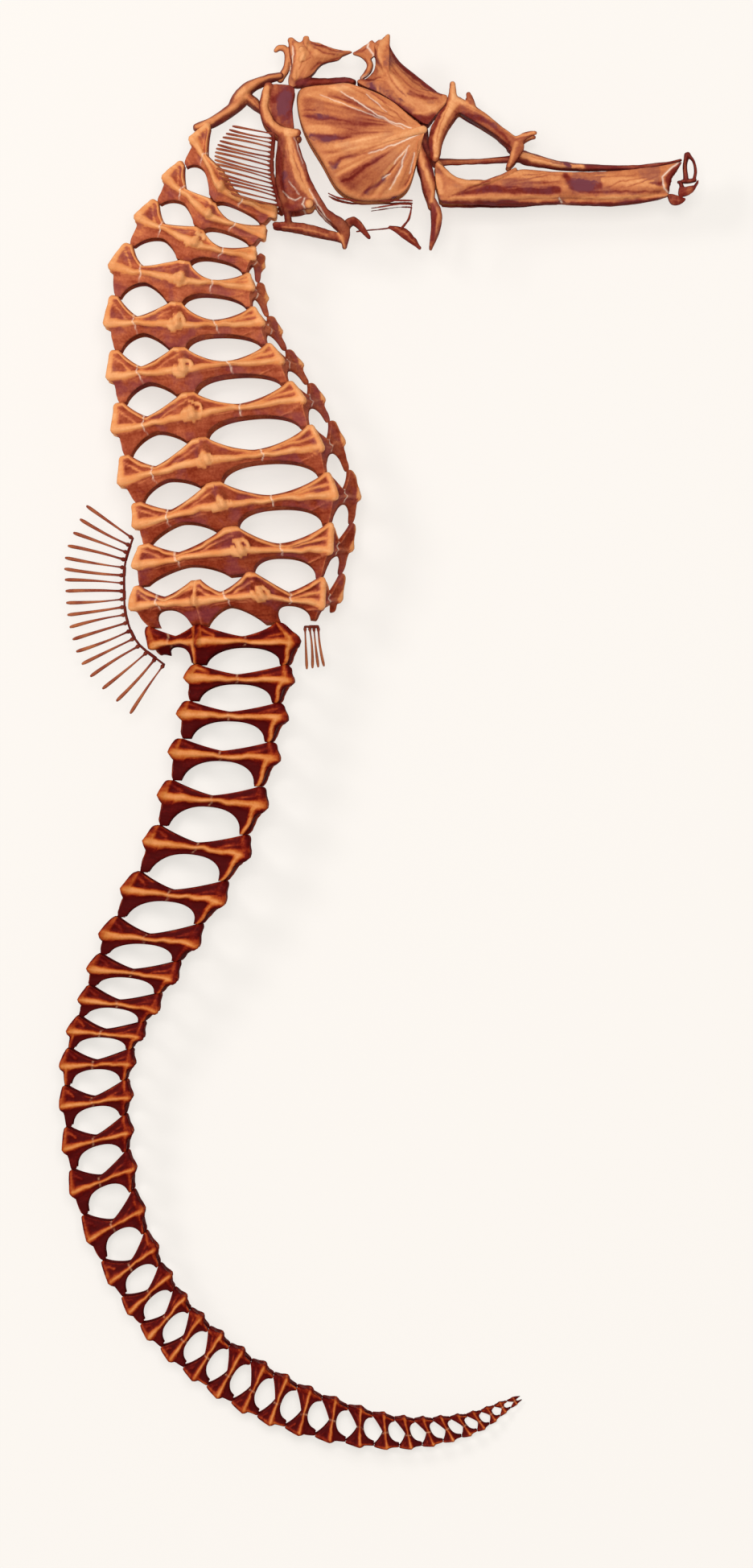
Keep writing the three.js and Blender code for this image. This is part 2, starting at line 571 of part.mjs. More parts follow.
// Jaws at the tip of the snout.
const upperJaw = plateOf(
  [[32.6, 62.3, 0.5], [33.1, 62.6, 0.5], [33.7, 61.9, 0.6], [33.9, 60.0, 0.7], [33.6, 59.6, 0.8], [32.4, 59.4, 0.9]],
  [33.1, 60.8, 1.0],
  null,
  [1],
);
const lowerJaw = plateOf(
  [[31.2, 58.9, 0.8], [32.0, 59.3, 0.8], [33.9, 59.45, 0.5], [33.2, 58.2, 0.6], [32.2, 57.0, 0.5], [30.9, 57.4, 0.6]],
  [32.2, 58.2, 0.9],
  null,
  [1],
);

// Tongue bones: a splinter on the middle plane, the arch above it and two gill rays on each side.
const hyoidSide = joined(
  limb([[2.2, 54.0, 0.3, 0.35], [3.9, 56.6, 1.9, 0.3]], 4),
  limb([[4.2, 56.7, 1.9, 0.27], [1.6, 56.7, 2.2, 0.27], [-0.7, 56.4, 2.1, 0.25]], 4),
  limb([[3.9, 56.3, 1.8, 0.27], [1.0, 56.1, 1.9, 0.27], [-1.6, 55.7, 1.7, 0.25]], 4),
);
const hyoid = joined(
  limb([
    [-2.2, 54.0, 0, 0.25, 0.3], [0.9, 54.4, 0, 0.25, 0.3], [2.2, 54.3, 0, 0.5, 0.45], [3.3, 53.5, 0, 0.55, 0.5],
    [4.5, 52.2, 0, 0.25, 0.25],
  ]),
  hyoidSide,
  mirrored(hyoidSide),
);

// Flat plate over any outline of rows [x, y, z of its middle].
function sheet(rows, thickness) {
  const flat = rows.map((r) => new THREE.Vector2(r[0], r[1]));
  const faces = THREE.ShapeUtils.triangulateShape(flat, []).flat();
  const n = rows.length;
  const under = [];
  for (let i = 0; i < faces.length; i += 3) under.push(n + faces[i], n + faces[i + 2], n + faces[i + 1]);
  const turn = THREE.ShapeUtils.isClockWise(flat) ? -1 : 1;
  const walls = [];
  for (let j = 0; j < n; j += 1) {
    const k = (j + 1) % n;
    if (turn > 0) walls.push(j, j + n, k, k, j + n, k + n);
    else walls.push(j, k, j + n, k, k + n, j + n);
  }
  const half = thickness / 2;
  const top = rows.map(([x, y, z]) => [x, y, z + half]);
  const bottom = rows.map(([x, y, z]) => [x, y, z - half]);
  return closed([...top, ...bottom], [...faces, ...under, ...walls]);
}

const FIN_THICKNESS = 0.52;

// Comb of fin rays: from a strip along the base line to the line of the tips.
function fin(count, base, tip, width, depth = 2 * width) {
  const rows = [];
  for (let i = 0; i < count; i += 1) {
    const s = i / (count - 1);
    const foot = new THREE.Vector3(...base(s));
    const end = new THREE.Vector3(...tip(s));
    const ray = end.clone().sub(foot).normalize();
    const across = new THREE.Vector3(-ray.y, ray.x, 0).multiplyScalar(width / 2);
    const near = new THREE.Vector3(...base(Math.min(1, s + 0.01))).sub(new THREE.Vector3(...base(Math.max(0, s - 0.01))));
    const sign = near.dot(across) > 0 ? 1 : -1;
    const corner = (p, k) => p.clone().addScaledVector(across, k * sign).toArray();
    rows.push(corner(foot, -1), corner(end, -1), corner(end, 1), corner(foot, 1));
  }
  const backs = 6;
  for (let i = backs; i >= 0; i -= 1) {
    const s = i / backs;
    const foot = new THREE.Vector3(...base(s));
    const inwards = foot.clone().sub(new THREE.Vector3(...tip(s))).normalize();
    rows.push(foot.addScaledVector(inwards, depth).toArray());
  }
  return sheet(rows, FIN_THICKNESS);
}
function along(points) {
  const rows = points.map((p, i) => [i / (points.length - 1), ...p]);
  const parts = points[0].map((_, k) => curve(rows, k + 1));
  return (s) => parts.map((f) => f(s));
}
const pectoralFin = fin(
  17,
  along([[-11.0, 63.9, 5.15], [-11.2, 60.0, 5.4], [-10.4, 56.4, 5.15]]),
  along([[-15.3, 64.7, 5.3], [-16.9, 62.6, 5.5], [-17.0, 60.4, 5.6], [-15.4, 57.6, 5.6]]),
  0.32,
);
const dorsalFin = fin(
  18,
  along([
    [-25.9, 21.6, 0], [-26.7, 19.0, 0], [-26.8, 16.2, 0], [-26.6, 13.4, 0], [-25.4, 10.6, 0], [-22.6, 8.3, 0],
  ]),
  along([
    [-30.8, 25.0, 0], [-32.9, 20.3, 0], [-33.0, 16.3, 0], [-32.5, 12.0, 0], [-30.8, 7.6, 0], [-26.1, 3.1, 0],
  ]),
  0.4,
);
const analFin = joined(
  fin(4, along([[-7.7, 12.2, 0], [-6.2, 12.2, 0]]), along([[-7.6, 7.9, 0], [-5.6, 8.2, 0]]), 0.32),
  limb([[-9.3, 14.0, 0, 0.5], [-8.0, 13.2, 0, 0.55], [-6.3, 12.3, 0, 0.4]], 4),
);

function boxesMeet(one, other) {
  const a = one.boundingBox();
  const b = other.boundingBox();
  return [0, 1, 2].every((k) => a.min[k] < b.max[k] && b.min[k] < a.max[k]);
}

// A bone gives way where it would run into one that is already there.
function addYielding(name, solid) {
  let own = solid.translate([0, 0, -FLAT]);
  for (const other of nodes) if (boxesMeet(own, other.solid)) own = own.subtract(other.solid);
  const parts = own.decompose().sort((a, b) => b.volume() - a.volume());
  nodes.push({ name, material: BONE, solid: parts[0] });
}
const headBones = [
  ["cranium", cranium], ["coronet", coronet], ["nape", nape], ["snout_roof", snoutRoof],
  ["orbit_right", orbit], ["orbit_left", mirrored(orbit)],
  ["opercle_right", opercle], ["opercle_left", mirrored(opercle)],
  ["preopercle_right", preopercle], ["preopercle_left", mirrored(preopercle)],
  ["snout_side_right", cheek], ["snout_side_left", mirrored(cheek)],
  ["upper_jaw", upperJaw], ["lower_jaw", lowerJaw], ["hyoid", hyoid],
  ["girdle_right", girdleSide], ["girdle_left", mirrored(girdleSide)],
  ["pectoral_fin_right", pectoralFin], ["pectoral_fin_left", mirrored(pectoralFin)],
];
for (const [name, solid] of headBones) addYielding(name, raised(solid));
addYielding("dorsal_fin", dorsalFin.translate([0, 0, lift(10.5)]));
addYielding("anal_fin", analFin.translate([0, 0, lift(11.5)]));

// The part's origin: middle of its bounding box in plan, on the floor.
const box = new THREE.Box3();
for (const { solid } of nodes) {
  const { min, max } = solid.boundingBox();
  box.union(new THREE.Box3(new THREE.Vector3(...min), new THREE.Vector3(...max)));
}
const middle = box.getCenter(new THREE.Vector3());
const skeleton = new THREE.Group();
for (const { name, material, solid } of nodes) {
  const mesh = new THREE.Mesh(toGeometry(solid.translate([-middle.x, -middle.y, -box.min.z])), material);
  mesh.name = name;
  skeleton.add(mesh);
}

export default skeleton;
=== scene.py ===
"""Dried skeleton of a lined seahorse, laid on its left side on a pale floor.

Lengths are millimetres until a mesh is made, and metres from then on. X runs towards the tip of the snout,
Y towards the crown, Z up from the floor. A position along the body is a ring number t: 1 to 11 are the trunk
rings, 12 to 47 the tail rings.
"""

import math

import bpy
import numpy as np
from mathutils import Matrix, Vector


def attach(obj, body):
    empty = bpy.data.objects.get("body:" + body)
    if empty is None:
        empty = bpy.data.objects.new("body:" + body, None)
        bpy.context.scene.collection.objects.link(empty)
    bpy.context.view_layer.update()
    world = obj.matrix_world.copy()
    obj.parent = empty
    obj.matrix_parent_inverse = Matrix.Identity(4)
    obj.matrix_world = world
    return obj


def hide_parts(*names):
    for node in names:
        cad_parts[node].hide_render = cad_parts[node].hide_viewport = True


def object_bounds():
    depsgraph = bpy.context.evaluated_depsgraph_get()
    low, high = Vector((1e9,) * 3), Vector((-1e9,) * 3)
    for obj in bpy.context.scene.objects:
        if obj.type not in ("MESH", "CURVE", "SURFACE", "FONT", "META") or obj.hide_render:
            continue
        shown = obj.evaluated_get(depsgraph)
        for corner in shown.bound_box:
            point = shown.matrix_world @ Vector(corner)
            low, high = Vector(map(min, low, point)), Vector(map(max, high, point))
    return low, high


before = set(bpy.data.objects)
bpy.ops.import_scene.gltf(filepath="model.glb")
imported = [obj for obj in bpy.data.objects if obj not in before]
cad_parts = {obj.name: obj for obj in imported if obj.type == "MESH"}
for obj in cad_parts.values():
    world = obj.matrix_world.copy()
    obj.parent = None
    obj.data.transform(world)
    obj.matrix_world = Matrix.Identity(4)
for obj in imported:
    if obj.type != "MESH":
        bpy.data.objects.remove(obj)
cad_low, cad_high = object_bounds()

MM = 0.001
ORIGIN = np.array([0.1023, 0.0755, 0.12])  # what the part's own origin takes off these positions
HEAD_LIFT = 6.6  # height of the head's middle plane
EYE = np.array([-0.23, -4.41, 0.0])  # the place that the camera stands over
EYE_DISTANCE = 828.0  # and how far it is from the head's middle plane
rng = np.random.default_rng(11)


# ---------------------------------------------------------------- curves and noise
def curve(rows):
    """Function of t through rows [t, values...]: a cubic between two rows, with slopes from the neighbours,
    and straight on beyond the ends."""
    rows = np.asarray(rows, float)
    t, v = rows[:, 0], rows[:, 1:]
    order = np.arange(len(t))
    before, after = np.maximum(order - 1, 0), np.minimum(order + 1, len(t) - 1)
    slope = (v[after] - v[before]) / (t[after] - t[before])[:, None]

    def at(x):
        x = np.asarray(x, float)
        held = np.clip(x, t[0], t[-1])
        i = np.clip(np.searchsorted(t, held, side="right") - 1, 0, len(t) - 2)
        h = (t[i + 1] - t[i])[..., None]
        s = (held - t[i])[..., None] / h
        s2, s3 = s * s, s * s * s
        value = (2 * s3 - 3 * s2 + 1) * v[i] + (s3 - 2 * s2 + s) * h * slope[i]
        value = value + (3 * s2 - 2 * s3) * v[i + 1] + (s3 - s2) * h * slope[i + 1]
        beyond = (x - held)[..., None]
        return value + beyond * np.where(beyond < 0, slope[0], slope[-1])

    return at


def noise(points, seed=0):
    """Smooth random value from 0 to 1: random numbers on a unit lattice, blended by s*s*(3 - 2s)."""
    cell = np.floor(points).astype(np.int64)
    s = points - cell
    s = s * s * (3 - 2 * s)
    total = np.zeros(points.shape[:-1])
    for corner in range(8):
        step = np.array([corner & 1, corner >> 1 & 1, corner >> 2 & 1])
        c = cell + step
        h = c[..., 0] * 374761393 + c[..., 1] * 668265263 + c[..., 2] * 1440662683 + seed * 974711
        h = ((h & 0xFFFFFFFF) ^ ((h & 0xFFFFFFFF) >> 13)) * 1274126177 & 0xFFFFFFFF
        value = ((h ^ (h >> 16)) & 0xFFFF) / 65535.0
        total += value * np.prod(np.where(step, s, 1 - s), axis=-1)
    return total


def smooth_step(x, low, high):
    """0 below low, 1 above high, and s*s*(3 - 2s) between."""
    s = np.clip((x - low) / (high - low), 0, 1)
    return s * s * (3 - 2 * s)


def unit(v):
    """The vectors at length 1."""
    return v / np.maximum(np.linalg.norm(v, axis=-1, keepdims=True), 1e-9)


# ---------------------------------------------------------------- the body's plan
# Ring, then x and y of the dorsal, lateral, ventral and keel ridges.
TRUNK_STATIONS = [
    [1, -19.7, 63.9, -16.9, 58.2, -10.9, 55.3, -10.4, 54.9],
    [3, -25.6, 55.4, -19.3, 52.4, -12.9, 50.9, -12.1, 50.2],
    [4, -28.3, 50.2, -20.8, 48.6, -13.0, 47.7, -11.7, 46.8],
    [5, -28.8, 44.2, -21.2, 43.9, -11.9, 44.0, -10.2, 43.3],
    [7, -28.0, 32.9, -19.6, 34.4, -7.6, 36.0, -5.7, 36.2],
    [8, -27.3, 27.4, -18.2, 29.7, -5.6, 31.0, -3.6, 31.8],
    [9, -25.8, 22.9, -16.5, 25.1, -4.2, 26.0, -2.0, 26.0],
    [11, -26.3, 14.5, -11.9, 15.7, -5.6, 14.6, -3.9, 15.4],
]
LAST_DORSAL = [12, -24.3, 10.5]
FIRST_SUPERIOR = [11, -19.8, 15.0]

# Ring, x and y of the tail's centre, depth between its two ridges, and the angle of the line across.
TAIL_STATIONS = [
    [12, -14.1, 10.7, 11.1, 0],
    [15, -16.4, -1.3, 11.4, -3],
    [17, -19.3, -11.1, 11.0, -7],
    [19, -24.3, -20.7, 10.3, -5],
    [21, -27.5, -27.6, 8.3, -7],
    [23, -29.8, -34.0, 7.7, 2],
    [26, -29.2, -46.3, 7.2, 22],
    [28, -26.0, -55.3, 6.2, 37],
    [31, -20.4, -63.1, 5.8, 54],
    [35, -10.6, -69.8, 5.3, 70],
    [39, 0.8, -73.1, 3.7, 96],
    [43, 9.2, -72.5, 2.6, 124],
    [47, 14.6, -70.0, 0.8, 120],
]

# Half widths of the body at each ridge: ring, half width.
HALF_WIDTHS = {
    "D": [[1, 1.9], [5, 2.9], [9, 3.3], [11, 2.6], [12, 1.7]],
    "M": [
        [1, 3.9], [3, 4.9], [5, 6.0], [7, 7.0], [9, 7.2], [11, 5.9], [12, 5.1], [13, 4.6],
        [19, 4.2], [26, 3.0], [35, 2.2], [43, 1.1], [47, 0.4],
    ],
    "S": [[11, 4.3], [12, 4.4], [13, 4.3], [19, 4.0], [26, 2.9], [35, 2.2], [43, 1.1], [47, 0.4]],
    "V": [[1, 2.0], [5, 3.6], [9, 4.4], [11, 3.0]],
    "K": [[1, 0.0], [12, 0.0]],
}
TRUNK_RINGS = 11
LAST_RING = 47
TIP_FROM = 39

trunk_plan = curve(TRUNK_STATIONS)
tail_plan = curve(TAIL_STATIONS)


def tail_corner(ring, side):
    """End of the tail's cross line: its centre plus or minus half the depth along the line's angle."""
    x, y, depth, angle = tail_plan(ring)
    a = math.radians(angle)
    return [ring, x + side * depth / 2 * math.cos(a), y + side * depth / 2 * math.sin(a)]


trunk_rows = [[r, *trunk_plan(r)] for r in range(1, TRUNK_RINGS + 1)]
superior_rows = [tail_corner(r, -1) for r in range(12, LAST_RING + 1)]
inferior_rows = [tail_corner(r, 1) for r in range(12, LAST_RING + 1)]
RIDGE_PLANS = {
    "D": curve([[r[0], r[1], r[2]] for r in trunk_rows] + [LAST_DORSAL]),
    "M": curve([[r[0], r[3], r[4]] for r in trunk_rows] + inferior_rows),
    "V": curve([[r[0], r[5], r[6]] for r in trunk_rows]),
    "K": curve([[r[0], r[7], r[8]] for r in trunk_rows]),
    "S": curve([FIRST_SUPERIOR] + superior_rows),
}
RIDGE_HALVES = {name: curve(rows) for name, rows in HALF_WIDTHS.items()}


def tubercle_height(name, t):
    """How far the points stand out of the ridge: fixed on the trunk, a share of the depth on the tail."""
    on_tail = 0.085 * tail_plan(np.maximum(t, 12))[..., 2]
    if name == "S":
        return on_tail
    if name == "M":
        return np.where(t < 11.5, 0.75, 0.8 * on_tail)
    return {"D": 0.8, "V": 0.6, "K": 0.35}[name] + 0 * t


def ridge(name, side, t):
    """Line through the tips of a ridge's points, in the body's own plane: plan x and y, z its half width."""
    plan = RIDGE_PLANS[name](t)
    half = RIDGE_HALVES[name](t)
    return np.concatenate([plan, side * half], axis=-1)


def centre(t):
    """Middle of the body: between the dorsal and ventral ridges, and the tail's centre from ring 12."""
    front = np.minimum(t, 12)
    trunk = (RIDGE_PLANS["D"](front) + RIDGE_PLANS["V"](front)) / 2
    tail = tail_plan(np.maximum(t, 10))[..., :2]
    share = smooth_step(t, 10.8, 12)[..., None]
    plan = trunk * (1 - share) + tail * share
    return np.concatenate([plan, 0 * plan[..., :1]], axis=-1)


lift_rows = [[-1, HEAD_LIFT], [3, HEAD_LIFT + 0.2], [5, HEAD_LIFT + 0.6]]
for r in range(7, LAST_RING + 1):
    names = "M" if r <= TRUNK_RINGS else "SM"
    lift_rows.append([r, max(float(RIDGE_HALVES[name](r)[0]) for name in names)])
lift = curve(lift_rows)


# ---------------------------------------------------------------- meshes
BOX_LOW, BOX_HIGH = np.array(cad_low) / MM, np.array(cad_high) / MM


def make_piece(name, points, quads, material, attributes, nodes):
    """One mesh object from points in millimetres, four-sided faces and per-point attributes. A tip that would
    stand out of the part's own size, by a few hundredths, ends level with it."""
    placed = np.clip(points - ORIGIN, BOX_LOW, BOX_HIGH)
    mesh = bpy.data.meshes.new(name)
    mesh.vertices.add(len(placed))
    mesh.vertices.foreach_set("co", (placed * MM).astype(np.float32).ravel())
    mesh.loops.add(quads.size)
    mesh.loops.foreach_set("vertex_index", quads.astype(np.int32).ravel())
    mesh.polygons.add(len(quads))
    mesh.polygons.foreach_set("loop_start", np.arange(0, quads.size, 4, dtype=np.int32))
    mesh.update(calc_edges=True)
    mesh.validate()
    mesh.shade_smooth()
    for key, values in attributes.items():
        kind = "FLOAT" if values.ndim == 1 else "FLOAT_VECTOR"
        field = "value" if values.ndim == 1 else "vector"
        layer = mesh.attributes.new(key, kind, "POINT")
        layer.data.foreach_set(field, values.astype(np.float32).ravel())
    mesh.materials.append(material)
    piece = bpy.data.objects.new(name, mesh)
    bpy.context.scene.collection.objects.link(piece)
    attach(piece, "root")
    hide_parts(*nodes)


def grid_quads(rows, columns, wrap_rows, wrap_columns):
    """Faces of a grid of points numbered row by row, joined round where a direction wraps."""
    i = np.arange(rows if wrap_rows else rows - 1)
    j = np.arange(columns if wrap_columns else columns - 1)
    i, j = np.meshgrid(i, j, indexing="ij")
    i2, j2 = (i + 1) % rows, (j + 1) % columns
    corners = [i * columns + j, i2 * columns + j, i2 * columns + j2, i * columns + j2]
    return np.stack(corners, axis=-1).reshape(-1, 4)


def join(parts):
    """One set of points and faces from several."""
    points, quads, start = [], [], 0
    for p, q in parts:
        points.append(p)
        quads.append(q + start)
        start += len(p)
    return np.concatenate(points), np.concatenate(quads)


# ---------------------------------------------------------------- finishes
def linear(code):
    """sRGB hex to linear red, green, blue, alpha."""
    parts = [int(code[i : i + 2], 16) / 255 for i in (1, 3, 5)]
    return [c / 12.92 if c <= 0.04045 else ((c + 0.055) / 1.055) ** 2.4 for c in parts] + [1.0]


def add(tree, kind, settings=None, links=None):
    """Adds a shader node, sets its settings and plain inputs, and links its inputs to other outputs."""
    node = tree.nodes.new("ShaderNode" + kind)
    for key, value in (settings or {}).items():
        if isinstance(key, str) and hasattr(node, key):
            setattr(node, key, value)
        else:
            node.inputs[key].default_value = value
    for key, source in (links or {}).items():
        tree.links.new(source, node.inputs[key])
    return node


def bone(name, ramp, blotch_hex, line_hex, streaks, blotches):
    """Dried bone. Smooth satin ridges catch the light, the thin webs between them are darker and rougher, and
    fine fibres run along each strut. The points' tone picks the colour between web and ridge."""
    material = bpy.data.materials.new(name)
    material.use_nodes = True
    tree = material.node_tree
    tree.nodes.clear()
    tone, grain, spot, line = (
        add(tree, "Attribute", {"attribute_name": key}) for key in ("tone", "grain", "blotch", "line")
    )
    place = add(tree, "TexCoord")
    # fibres: about 0.35 mm across and ten times as long, from the points' own grain coordinates
    fine = {"Scale": 1.0, "Detail": 4.0, "Roughness": 0.6}
    fibre = add(tree, "TexNoise", fine, {"Vector": grain.outputs["Vector"]})
    # pores of 0.25 mm, chalky mottling of 1.2 mm and patches of 2.4 mm
    pores, mottle, patch = (
        add(tree, "TexNoise", {"Scale": scale, "Detail": detail}, {"Vector": place.outputs["Object"]})
        for scale, detail in ((4000.0, 3.0), (850.0, 4.0), (420.0, 3.0))
    )
    # each noise shifts the points' tone up or down by half its strength
    level = tone.outputs["Fac"]
    for source, strength in ((fibre, streaks), (mottle, 0.3), (pores, 0.3)):
        shift = add(
            tree, "Math", {"operation": "MULTIPLY_ADD", 1: strength, 2: -strength / 2},
            {0: source.outputs["Fac"]},
        )
        total = {"operation": "ADD", "use_clamp": source is pores}
        level = add(tree, "Math", total, {0: level, 1: shift.outputs[0]}).outputs[0]
    colours = add(tree, "ValToRGB", {}, {"Fac": level})
    stops = colours.color_ramp.elements
    while len(stops) < len(ramp):
        stops.new(0.5)
    for stop, (position, code) in zip(stops, ramp):
        stop.position = position
        stop.color = linear(code)
    # purple-brown stains, only where the points allow them
    stain = add(tree, "MapRange", {"From Min": 0.5, "From Max": 0.62}, {"Value": patch.outputs["Fac"]})
    stained = add(tree, "Math", {"operation": "MULTIPLY"}, {0: stain.outputs[0], 1: spot.outputs["Fac"]})
    # and where a point's blotch is above 1, by what it is above
    outright = add(
        tree, "Math", {"operation": "SUBTRACT", 1: 1.0, "use_clamp": True}, {0: spot.outputs["Fac"]},
    )
    share = add(
        tree, "Math", {"operation": "MULTIPLY_ADD", 1: blotches, "use_clamp": True},
        {0: stained.outputs[0], 2: outright.outputs[0]},
    )
    # sockets 6 and 7 of a mix are its two colours, and its output 2 the mixed one
    with_stain = add(
        tree, "Mix", {"data_type": "RGBA", 7: linear(blotch_hex)},
        {"Factor": share.outputs[0], 6: colours.outputs["Color"]},
    )
    with_line = add(
        tree, "Mix", {"data_type": "RGBA", 7: linear(line_hex)},
        {"Factor": line.outputs["Fac"], 6: with_stain.outputs[2]},
    )
    rough = add(tree, "MapRange", {"To Min": 0.68, "To Max": 0.46}, {"Value": level})
    relief = add(
        tree, "Math", {"operation": "MULTIPLY_ADD", 1: 0.4},
        {0: pores.outputs["Fac"], 2: fibre.outputs["Fac"]},
    )
    bump = add(tree, "Bump", {"Strength": 0.5, "Distance": 0.00009}, {"Height": relief.outputs[0]})
    shader = add(
        tree,
        "BsdfPrincipled",
        {"IOR": 1.5, "Specular IOR Level": 0.07},
        {"Base Color": with_line.outputs[2], "Roughness": rough.outputs[0], "Normal": bump.outputs["Normal"]},
    )
    add(tree, "OutputMaterial", {}, {"Surface": shader.outputs[0]})
    return material


# The trunk's plates: satin orange-brown ridges over red-brown webs, with purple stains and pale seams.
ARMOUR = bone(
    "dried trunk armour bone",
    [(0.0, "#5C1408"), (0.14, "#7D2B14"), (0.28, "#954328"), (0.42, "#AF5B3A"), (0.56, "#C57344"),
        (0.7, "#D5854C"), (0.85, "#D68C56"), (1.0, "#E09C66")],
    "#6E3040", "#F2DCC6", 0.3, 0.6,
)
# The tail's plates: the same ridges over webs of a dark wine red, so that every window has a dark frame.
TAIL_ARMOUR = bone(
    "dried tail armour bone",
    [(0.0, "#440000"), (0.12, "#540200"), (0.24, "#6E1404"), (0.38, "#92320E"), (0.54, "#AA501E"),
        (0.72, "#C27034"), (1.0, "#D68C54")],
    "#6E3040", "#E8B088", 0.3, 0.6,
)
# The head's bones: lighter and yellower, with stronger fibres, as on thin polished plates.
SKULL = bone(
    "dried skull bone",
    [(0.0, "#661A12"), (0.18, "#7C2E20"), (0.4, "#A05436"), (0.62, "#BE7246"), (0.82, "#D08856"),
        (1.0, "#E0A06C")],
    "#6C343C", "#F2DECA", 0.34, 0.85,
)
# The fins' rays: dull red-brown rods, paler towards their ends.
RAY = bone(
    "dried fin ray bone",
    [(0.0, "#5E1810"), (0.35, "#863E2A"), (0.7, "#AE663E"), (1.0, "#CE8A54")],
    "#5C3440", "#F0DCC4", 0.3, 0.2,
)


# ---------------------------------------------------------------- armour rings
# Where the joint ahead of a ring lies, in rings ahead of its points.
joint_ahead = curve(
    [[1, 0.5], [11, 0.5], [12, 0.43], [13, 0.39], [17, 0.39], [20, 0.49], [21, 0.5], [LAST_RING, 0.5]]
)
JOINT = 0.012  # half the gap between two rings, in rings
UNDERLAP = 0.05  # how far a ring's back edge reaches in under the next ring, in rings

# Between two ridges a ring's edges draw in to leave a window. For the front and the back edge: the share of
# the face's width where it starts, where it is nearest the ring's middle and where it ends, and how near it
# comes.
FACES = {
    "DD": ((0.1, 0.5, 0.9, 0.17), (0.15, 0.5, 0.85, 0.17)),
    "DM": ((0.09, 0.4, 0.92, 0.14), (0.08, 0.47, 0.82, 0.2)),
    "MV": ((0.06, 0.45, 0.97, 0.11), (0.07, 0.45, 0.93, 0.15)),
    "VK": ((0.05, 0.5, 0.95, 0.14), (0.1, 0.5, 0.9, 0.14)),
    "DS": ((0.06, 0.5, 0.94, 0.15), (0.2, 0.5, 0.8, 0.16)),
    "tail": ((0.03, 0.48, 0.95, 0.11), (0.1, 0.5, 0.91, 0.14)),
}
ENDED = {11: "VK", 12: "D"}  # ridges that no further ring carries on


def loop_of(ring):
    """Ridges round a ring, each with its side and the kind of face that follows it."""
    if ring < 3:
        half = [("D", "DM"), ("M", "MV"), ("V", "VK")]
    elif ring < TRUNK_RINGS:
        half = [("D", "DM"), ("M", "MV"), ("V", "VK"), ("K", "VK")]
    elif ring == TRUNK_RINGS:
        half = [("D", "DS"), ("S", "DM"), ("M", "VK"), ("V", "VK"), ("K", "VK")]
    elif ring == TRUNK_RINGS + 1:
        half = [("D", "DS"), ("S", "tail"), ("M", "tail")]
    else:
        half = [("S", "tail"), ("M", "tail")]
    right = [(name, 1, kind) for name, kind in half]
    names = [name for name, _ in half if name != "K"]
    kinds = [kind for _, kind in half]
    left = []
    for i in range(len(names) - 1, -1, -1):
        kind = kinds[i - 1] if i else ("DD" if names[0] == "D" else kinds[0])
        left.append((names[i], -1, kind))
    return right + left


def reach(kind, edge, u, limit, ring):
    """How far an edge is from the ring's middle at share u of a face, in rings, where its joint is at limit.
    The front edge is a V, (1 - x^1.25)^0.9 deep, and the back edge an arch, (1 - x^2.3)^0.55."""
    low, apex, high, waist = FACES[kind][0 if edge == "front" else 1]
    if kind == "MV" and edge == "back":
        waist = waist + 0.03 * max(0, 8 - ring)  # the front rings' webs are broader
    x = np.where(u < apex, (apex - u) / (apex - low), (u - apex) / (high - apex))
    x = np.clip(x, 0, 1)
    if edge == "front":
        depth = (1 - x**1.25) ** 0.9 if kind != "MV" else (1 - x**1.6) ** 0.8
    else:
        depth = (1 - x**2.3) ** 0.55 if kind != "DM" else (1 - x**1.6) ** 0.75
    return limit - np.maximum((limit - waist) * depth, JOINT)


CRISP = 0.06  # how sharply a strut's colour ends, in millimetres
FAR = 9.0  # a distance at which a strut no longer shows


class Relief:
    """Height and tone over a face. A strut raises the web by a bell of distance over width, and is lighter,
    with a darker edge."""

    def __init__(self, shape, web):
        self.height = np.zeros(shape)
        self.tone = np.full(shape, web)

    def strut(self, distance, width, rise, shade):
        """Adds a strut that high and that light, from the points' distances to its middle line."""
        ratio = distance / width
        self.height = np.maximum(self.height, rise * np.exp(-(ratio**2)))
        inside = 1 / (1 + np.exp((distance - width) / CRISP))
        self.tone = np.maximum(self.tone, shade * inside * (1 - 0.14 * np.minimum(ratio, 1) ** 2))


def near_line(a, b, start, end):
    """Distance of the points (a, b) from a straight stretch."""
    dx, dy = end[0] - start[0], end[1] - start[1]
    s = np.clip(((a - start[0]) * dx + (b - start[1]) * dy) / (dx * dx + dy * dy + 1e-9), 0, 1)
    return np.hypot(a - start[0] - s * dx, b - start[1] - s * dy)


